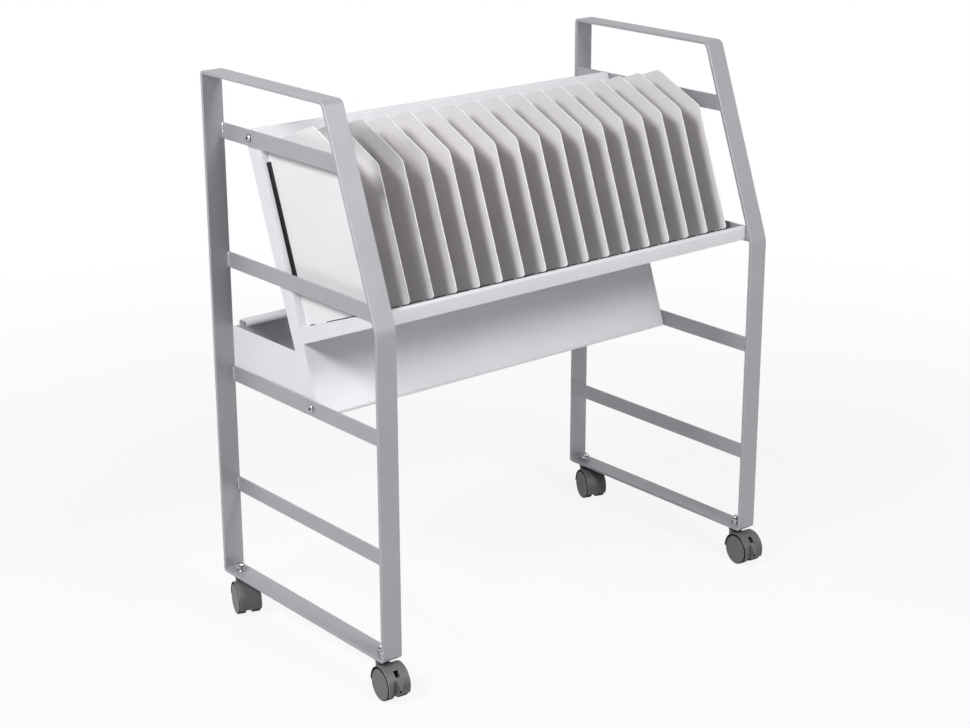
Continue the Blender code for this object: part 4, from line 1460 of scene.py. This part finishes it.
    def build_stem(self) -> None:
        """Build the stem with its black collar, and the cap nut on its washer."""
        lay, name, top = self.layout, self.label, self.hood_top
        bar = lay.underside + lay.bar_thickness
        stem, collar, gap, soft = self.stem, self.collar, lay.gap, 0.5 * MM
        low, high, skirt, inside = top + gap, lay.underside - gap, top - self.skirt, self.neck + gap
        foot, end = top - self.stem_grip, bar + gap + self.stem_thread
        rows = softened([(soft, foot), (stem, foot), (stem, low), (inside, low), (inside, skirt),
                         (collar, skirt), (collar, high), (stem, high), (stem, end), (soft, end)],
                        [0, soft, 0, 0, 0, 0.3 * MM, 0.6 * MM, 0, soft, 0])
        add_piece(f"stem_collar_{name}", self.set_down(turned(rows)), BLACK_COLLAR, "cart",
                  (f"stem_{name}",))
        nut = self.cap_nut.shape().placed(np.eye(3), (0, 0, bar + gap))
        add_piece(f"domed_nut_{name}", self.set_down(nut), CHROME, "cart", (f"cap_nut_{name}",))

    def band(self, low: float, high: float, start: float, end: float, drop: float = 0.0,
             painted_shade: float = 0.0) -> Surface:
        """Give a strip of the hood's wall: a rounded flat section carried along an arc about the axle.

        Args:
            low: lowest x.
            high: highest x.
            start: angle at which the strip starts.
            end: angle at which it ends.
            drop: how far its outer face lies under the hood's.
            painted_shade: how far painted shade darkens that face.

        Returns:
            The strip, dirty on its inner face.
        """
        radius = self.hood - drop
        line = self.arc(radius, start, end, max(int((end - start) / self.arc_step), 4))
        inward = (self.polar(0, np.array(0.0)) - line) / radius
        section, edge = bar_section(self.wall - drop, low, high, self.edge * (1 - drop / self.wall))
        # Painted shade darkens the inner face, and the outer face by the given amount.
        edge = np.where(section[:, 0] > (self.wall - drop) / 2, -1.0, edge - 2 * painted_shade if painted_shade else edge)
        return carried(Path(line, inward), section, edge, False, True)

    def notched_side(self) -> list[Surface]:
        """Give the braked hood's wall on the lever's left, with a low notch that widens downwards.

        The lower strip's corners move in by s * (x + outer), with s growing from notch's first share
        at the notch's top to its second at the hood's front end. The floor reaches to the lever.

        Returns:
            The wall over and beside the notch, and the notch's floor.
        """
        outer, half, top = self.outer, self.slot_half, self.notch_top
        side = self.band(-outer, -half, self.front_reach, top)
        x, y, z = side.corners.T
        angle = np.arctan2(z - self.wheel, -self.trail - y)
        share = np.interp(angle, [self.front_reach, top], self.notch[::-1])
        side.corners[:, 0] = x - share * (x + outer)
        # The notch's floor is darkened with painted shade.
        floor = self.band(self.notch_floor_inset - outer, -half, self.slot_bottom,
                          top + self.notch_lap, self.notch_floor_drop, self.slot_painted_shade)
        x, y, z = floor.corners.T
        floor.corners[:, 0] = x + self.drawn_in(z) * (x > MM - half - self.wall)
        return [self.band(-outer, -half, top, self.slot_top), side, floor]

    def cheek(self, outline: Array, low: float, high: float, edge: float = 0.3 * MM) -> Surface:
        """Give a flat wall of the hood between two x places from its (y, z) corners."""
        return plate(mitred(outline, True), low, high, edge)

    def hood_shape(self) -> Surface:
        """Give the hood: wall over both wheels, web between them and neck round the stem.

        The neck ends at the wall: its height is at least sqrt(rim^2 - (y + trail)^2) over the axle.

        Returns:
            Closed surfaces that run into each other, with the lever's slot left free.
        """
        outer, half, web = self.outer, self.slot_half, self.web / 2
        rim = self.hood - self.wall / 2
        full = self.arc(rim, self.rear_reach, self.front_reach, 60)
        neck = turned(softened([(MM, self.wheel), (self.neck, self.wheel), (self.neck, self.hood_top),
                                (MM, self.hood_top)], [0, 1.5 * MM, MM, 0]), 64)
        x, y, z = neck.corners.T
        over = np.sqrt(np.maximum(rim**2 - (y + self.trail) ** 2, 0))
        neck.corners[:, 2] = np.maximum(z, self.wheel + over)
        if not self.braked():
            return joined([self.band(-outer, outer, self.front_reach, self.rear_reach),
                           self.cheek(full, -web, web), neck])
        left = self.cheek(full, -web, -half)
        # Painted shade darkens the web's side beside the slot.
        left.edge = np.full(len(left.corners), -self.slot_painted_shade)
        parts = [neck, left, self.cheek(full, half, web), *self.notched_side()]
        # The band under the step is darkened slightly with painted shade.
        parts += [self.band(half, outer, self.step, self.slot_top),
                  self.band(half, outer, self.front_reach, self.step, self.step_drop, self.step_painted_shade),
                  self.band(-outer, outer, self.slot_top, self.rear_reach),
                  self.band(-half - self.slot_lap, half + self.slot_lap, self.front_reach,
                            self.slot_bottom)]
        core = np.concatenate([self.arc(rim, self.rear_reach, self.slot_top, 40),
                               self.arc(self.slot_floor, self.slot_top, self.slot_bottom, 30),
                               self.arc(rim, self.slot_bottom, self.front_reach, 4)])
        floor = self.cheek(core, -half, half)
        # Painted shade makes the slot's floor dark.
        floor.edge = np.full(len(floor.corners), -1.0)
        return joined([*parts, floor])

    def disc_shape(self) -> Surface:
        """Give a wheel's disc about Z: slightly dished face, open inner side and blind hub.

        Returns:
            The disc, with its rows from the bore over hub, hollow and rim to the face's middle.
        """
        rim, face, hub = self.wheel - self.tyre, self.wheel_width - self.play, self.hub
        (bore, depth), (hollow, floor) = self.hub_bore, self.hollow
        inset, dish = 0.4 * MM, face - 0.2 * MM
        corners = [(bore, depth), (bore, 0), (hub, 0), (hub, floor), (hollow, floor), (hollow, inset),
                   (rim, inset), (rim, face), (rim - 1.2 * MM, face), (rim - 1.6 * MM, dish),
                   (MM, dish)]
        radii = [radius * MM for radius in (0, 0.4, 0.4, 0.8, 0.8, 0.4, 0.4, 0.4, 0.2, 0.2, 0)]
        return turned(softened(corners, radii), 72)

    def tyre_shape(self) -> Surface:
        """Give a wheel's dark tyre about Z.

        Returns:
            A ring with soft edges that grips the disc.
        """
        inner, low, high = self.wheel - self.tyre - 0.3 * MM, 0.1 * MM, self.wheel_width - 0.06 * MM
        corners = [(inner, low), (self.wheel, low), (self.wheel, high), (inner, high)]
        rows = softened(corners, [0.2 * MM, 0.5 * MM, 1.1 * MM, 0.2 * MM], True)
        return turned(rows, 72, None, True)

    def lever_shape(self) -> Surface:
        """Give the brake lever: a curved blade with a round pivot end and a toe to press.

        Its left side draws in towards the toe: x moves by drawn_in(z) * (1 - x / half) / 2.

        Returns:
            The lever.
        """
        outer, boss = self.hood - self.layout.gap, self.lever_thickness / 2
        (toe_end, pivot_angle), (toe_start, blade_end) = self.lever_ends, self.lever_step
        pivot = self.polar(outer - boss, np.array(pivot_angle))
        turn = np.linspace(pivot_angle + math.pi, pivot_angle, 9)[:-1]
        round_end = pivot + boss * np.stack([-np.cos(turn), np.sin(turn)], axis=1)
        blade = self.arc(outer, pivot_angle, blade_end, 14)
        toe = self.arc(outer + self.lever_toe, toe_start, toe_end, 5)
        inner = self.arc(outer - self.lever_thickness, toe_end, pivot_angle, 14)[:-1]
        outline = np.concatenate([round_end, blade, toe, inner])[::-1]
        lever = plate(mitred(outline, True), -self.lever_half, self.lever_half, 0.5 * MM)
        x, y, z = lever.corners.T
        lever.corners[:, 0] = x + self.drawn_in(z) * (1 - x / self.lever_half) / 2
        lever.edge = lever.edge * 0.2
        return lever

    def drawn_in(self, z: Array) -> Array:
        """Return how far the lever's left side has drawn in at each height."""
        heights = self.polar(self.hood, np.array(self.lever_ends))[:, 1]
        return np.interp(z, heights, [self.lever_taper, 0])


# Floor, light and camera


@dataclass(frozen=True)
class Lamp:
    """A round softbox: which way it stands from the cart, its level there, colour, size and distance.

    A lamp without glare lights the cart softly and leaves no reflection on it.
    """

    name: str
    source: tuple[float, float, float]
    level: float
    colour: Colour
    size: float
    distance: float = 4.0
    aim: tuple[float, float, float] = (0.0, 0.0, 0.5)
    glare: bool = True

    def build(self) -> None:
        """Add the lamp, with the power that gives its level on what faces it at the cart."""
        light = bpy.data.lights.new(self.name, "AREA")
        light.shape, light.size = "DISK", self.size
        light.energy = self.level * (math.pi * self.distance) ** 2
        light.color = self.colour
        lamp = bpy.data.objects.new(self.name, light)
        bpy.context.scene.collection.objects.link(lamp)
        lamp.visible_glossy = self.glare
        away = Vector(self.source).normalized()
        lamp.location = Vector(self.aim) + away * self.distance
        lamp.rotation_mode = "QUATERNION"
        lamp.rotation_quaternion = away.to_track_quat("Z", "Y")


@dataclass(frozen=True)
class Studio:
    """The floor, the sky, the lamps and the camera."""

    floor_half: float = 40.0
    floor_colour: Colour = (0.8, 0.8, 0.8)
    floor_glow: float = 0.88
    floor_fade: tuple[float, float] = (0.8, 2.2)
    sky: float = 0.08
    sky_colour: Colour = (0.97, 0.98, 1.0)
    camera_place: tuple[float, float, float] = (-1.93955, -2.31461, 1.40919)
    yaw: float = -0.6920
    pitch: float = -0.3282
    roll: float = -0.0025
    lens: float = 73.63
    lamps: tuple[Lamp, ...] = (
        Lamp("key", (-1.0, -0.1, 0.79), 0.72, (0.98, 0.985, 1.0), size=1.0, distance=3.2),
        Lamp("front", (0.05, -1.0, 0.68), 0.51, (1.0, 0.995, 0.99), size=1.0, distance=3.4),
        Lamp("back", (0.6, 1.0, 0.2), 0.14, (1.0, 1.0, 1.0), size=2.0, glare=False),
    )

    def build(self) -> None:
        """Set up floor, sky, lamps and camera."""
        self.build_floor()
        self.build_sky()
        for lamp in self.lamps:
            lamp.build()
        self.build_camera()
        bpy.context.scene.view_settings.view_transform = "Standard"

    @staticmethod
    def seen_directly(tree: Tree) -> Socket:
        """Find the rays that the camera sees, straight or by mirror or glass.

        Args:
            tree: the material's or the world's nodes.

        Returns:
            1 for such rays, 0 for those that only light.
        """
        rays = tree.nodes.new("ShaderNodeLightPath").outputs
        either = math_node(tree, "MAXIMUM", rays["Is Camera Ray"], rays["Is Glossy Ray"])
        return math_node(tree, "MAXIMUM", either, rays["Is Transmission Ray"])

    @staticmethod
    def mixed(tree: Tree, share: Socket, lit: bpy.types.Node, seen: bpy.types.Node,
              output: str) -> None:
        """Mix two shaders and give them to the output.

        Args:
            tree: the nodes.
            share: how far the second one shows.
            lit: the first shader, for rays that only light.
            seen: the second one, for rays that the camera sees.
            output: the output node's type.
        """
        mix, out = tree.nodes.new("ShaderNodeMixShader"), tree.nodes.new(output)
        tree.links.new(share, mix.inputs["Fac"])
        tree.links.new(lit.outputs[0], mix.inputs[1])
        tree.links.new(seen.outputs[0], mix.inputs[2])
        tree.links.new(mix.outputs[0], out.inputs["Surface"])

    def build_floor(self) -> None:
        """Lay a pale floor that looks white, fully so well off the cart, and keeps its shadow."""
        mesh, half = bpy.data.meshes.new("floor"), self.floor_half
        corners = [(-half, -half, 0), (half, -half, 0), (half, half, 0), (-half, half, 0)]
        mesh.from_pydata(corners, [], [(0, 1, 2, 3)])
        material = bpy.data.materials.new("pale_floor")
        material.use_nodes = True
        tree = material.node_tree
        tree.nodes.clear()
        paint, glow = tree.nodes.new("ShaderNodeBsdfDiffuse"), tree.nodes.new("ShaderNodeEmission")
        paint.inputs["Color"].default_value = (*self.floor_colour, 1)
        off = tree.nodes.new("ShaderNodeVectorMath")
        off.operation = "LENGTH"
        tree.links.new(tree.nodes.new("ShaderNodeTexCoord").outputs["Object"], off.inputs[0])
        white = range_node(tree, off.outputs["Value"], *self.floor_fade, self.floor_glow, 1)
        share = math_node(tree, "MULTIPLY", self.seen_directly(tree), white)
        self.mixed(tree, share, paint, glow, "ShaderNodeOutputMaterial")
        mesh.materials.append(material)
        floor = bpy.data.objects.new("floor", mesh)
        bpy.context.scene.collection.objects.link(floor)

    def build_sky(self) -> None:
        """Fill the surroundings: white where they are seen, softer where they only light."""
        world = bpy.data.worlds.new("studio")
        bpy.context.scene.world = world
        world.use_nodes = True
        tree = world.node_tree
        tree.nodes.clear()
        soft, white = (tree.nodes.new("ShaderNodeBackground") for _ in range(2))
        for node, colour, strength in ((soft, self.sky_colour, self.sky), (white, (1, 1, 1), 1)):
            node.inputs["Color"].default_value = (*colour, 1)
            node.inputs["Strength"].default_value = strength
        self.mixed(tree, self.seen_directly(tree), soft, white, "ShaderNodeOutputWorld")

    def build_camera(self) -> None:
        """Place the camera: it looks along yaw and pitch, and roll turns it about that line."""
        sine, cosine = math.sin(self.pitch), math.cos(self.pitch)
        ahead = np.array([-math.sin(self.yaw) * cosine, math.cos(self.yaw) * cosine, sine])
        right = np.array([math.cos(self.yaw), math.sin(self.yaw), 0.0])
        up = np.cross(right, ahead)
        sine, cosine = math.sin(self.roll), math.cos(self.roll)
        right, up = np.array([[cosine, sine], [-sine, cosine]]) @ np.stack([right, up])
        turn = np.eye(4)
        turn[:3] = np.stack([right, up, -ahead, self.camera_place + MIDDLE], axis=1)
        data = bpy.data.cameras.new("camera")
        data.lens, data.sensor_width = self.lens, 36
        data.clip_start, data.clip_end = 0.01, 200
        camera = bpy.data.objects.new("camera", data)
        bpy.context.scene.collection.objects.link(camera)
        camera.matrix_world = Matrix(turn.tolist())
        bpy.context.scene.camera = camera


def main() -> None:
    """Build the dressed cart and its studio."""
    logging.basicConfig(level=logging.INFO, format="%(name)s: %(message)s")
    layout = Layout()
    for side in Side:
        SideFrame(layout, side).build()
    TrayRack(layout).build()
    TrayBolts(layout).build()
    for place in CasterPlace:
        Caster(layout, place).build()
    Studio().build()


if __name__ == "__main__":
    main()
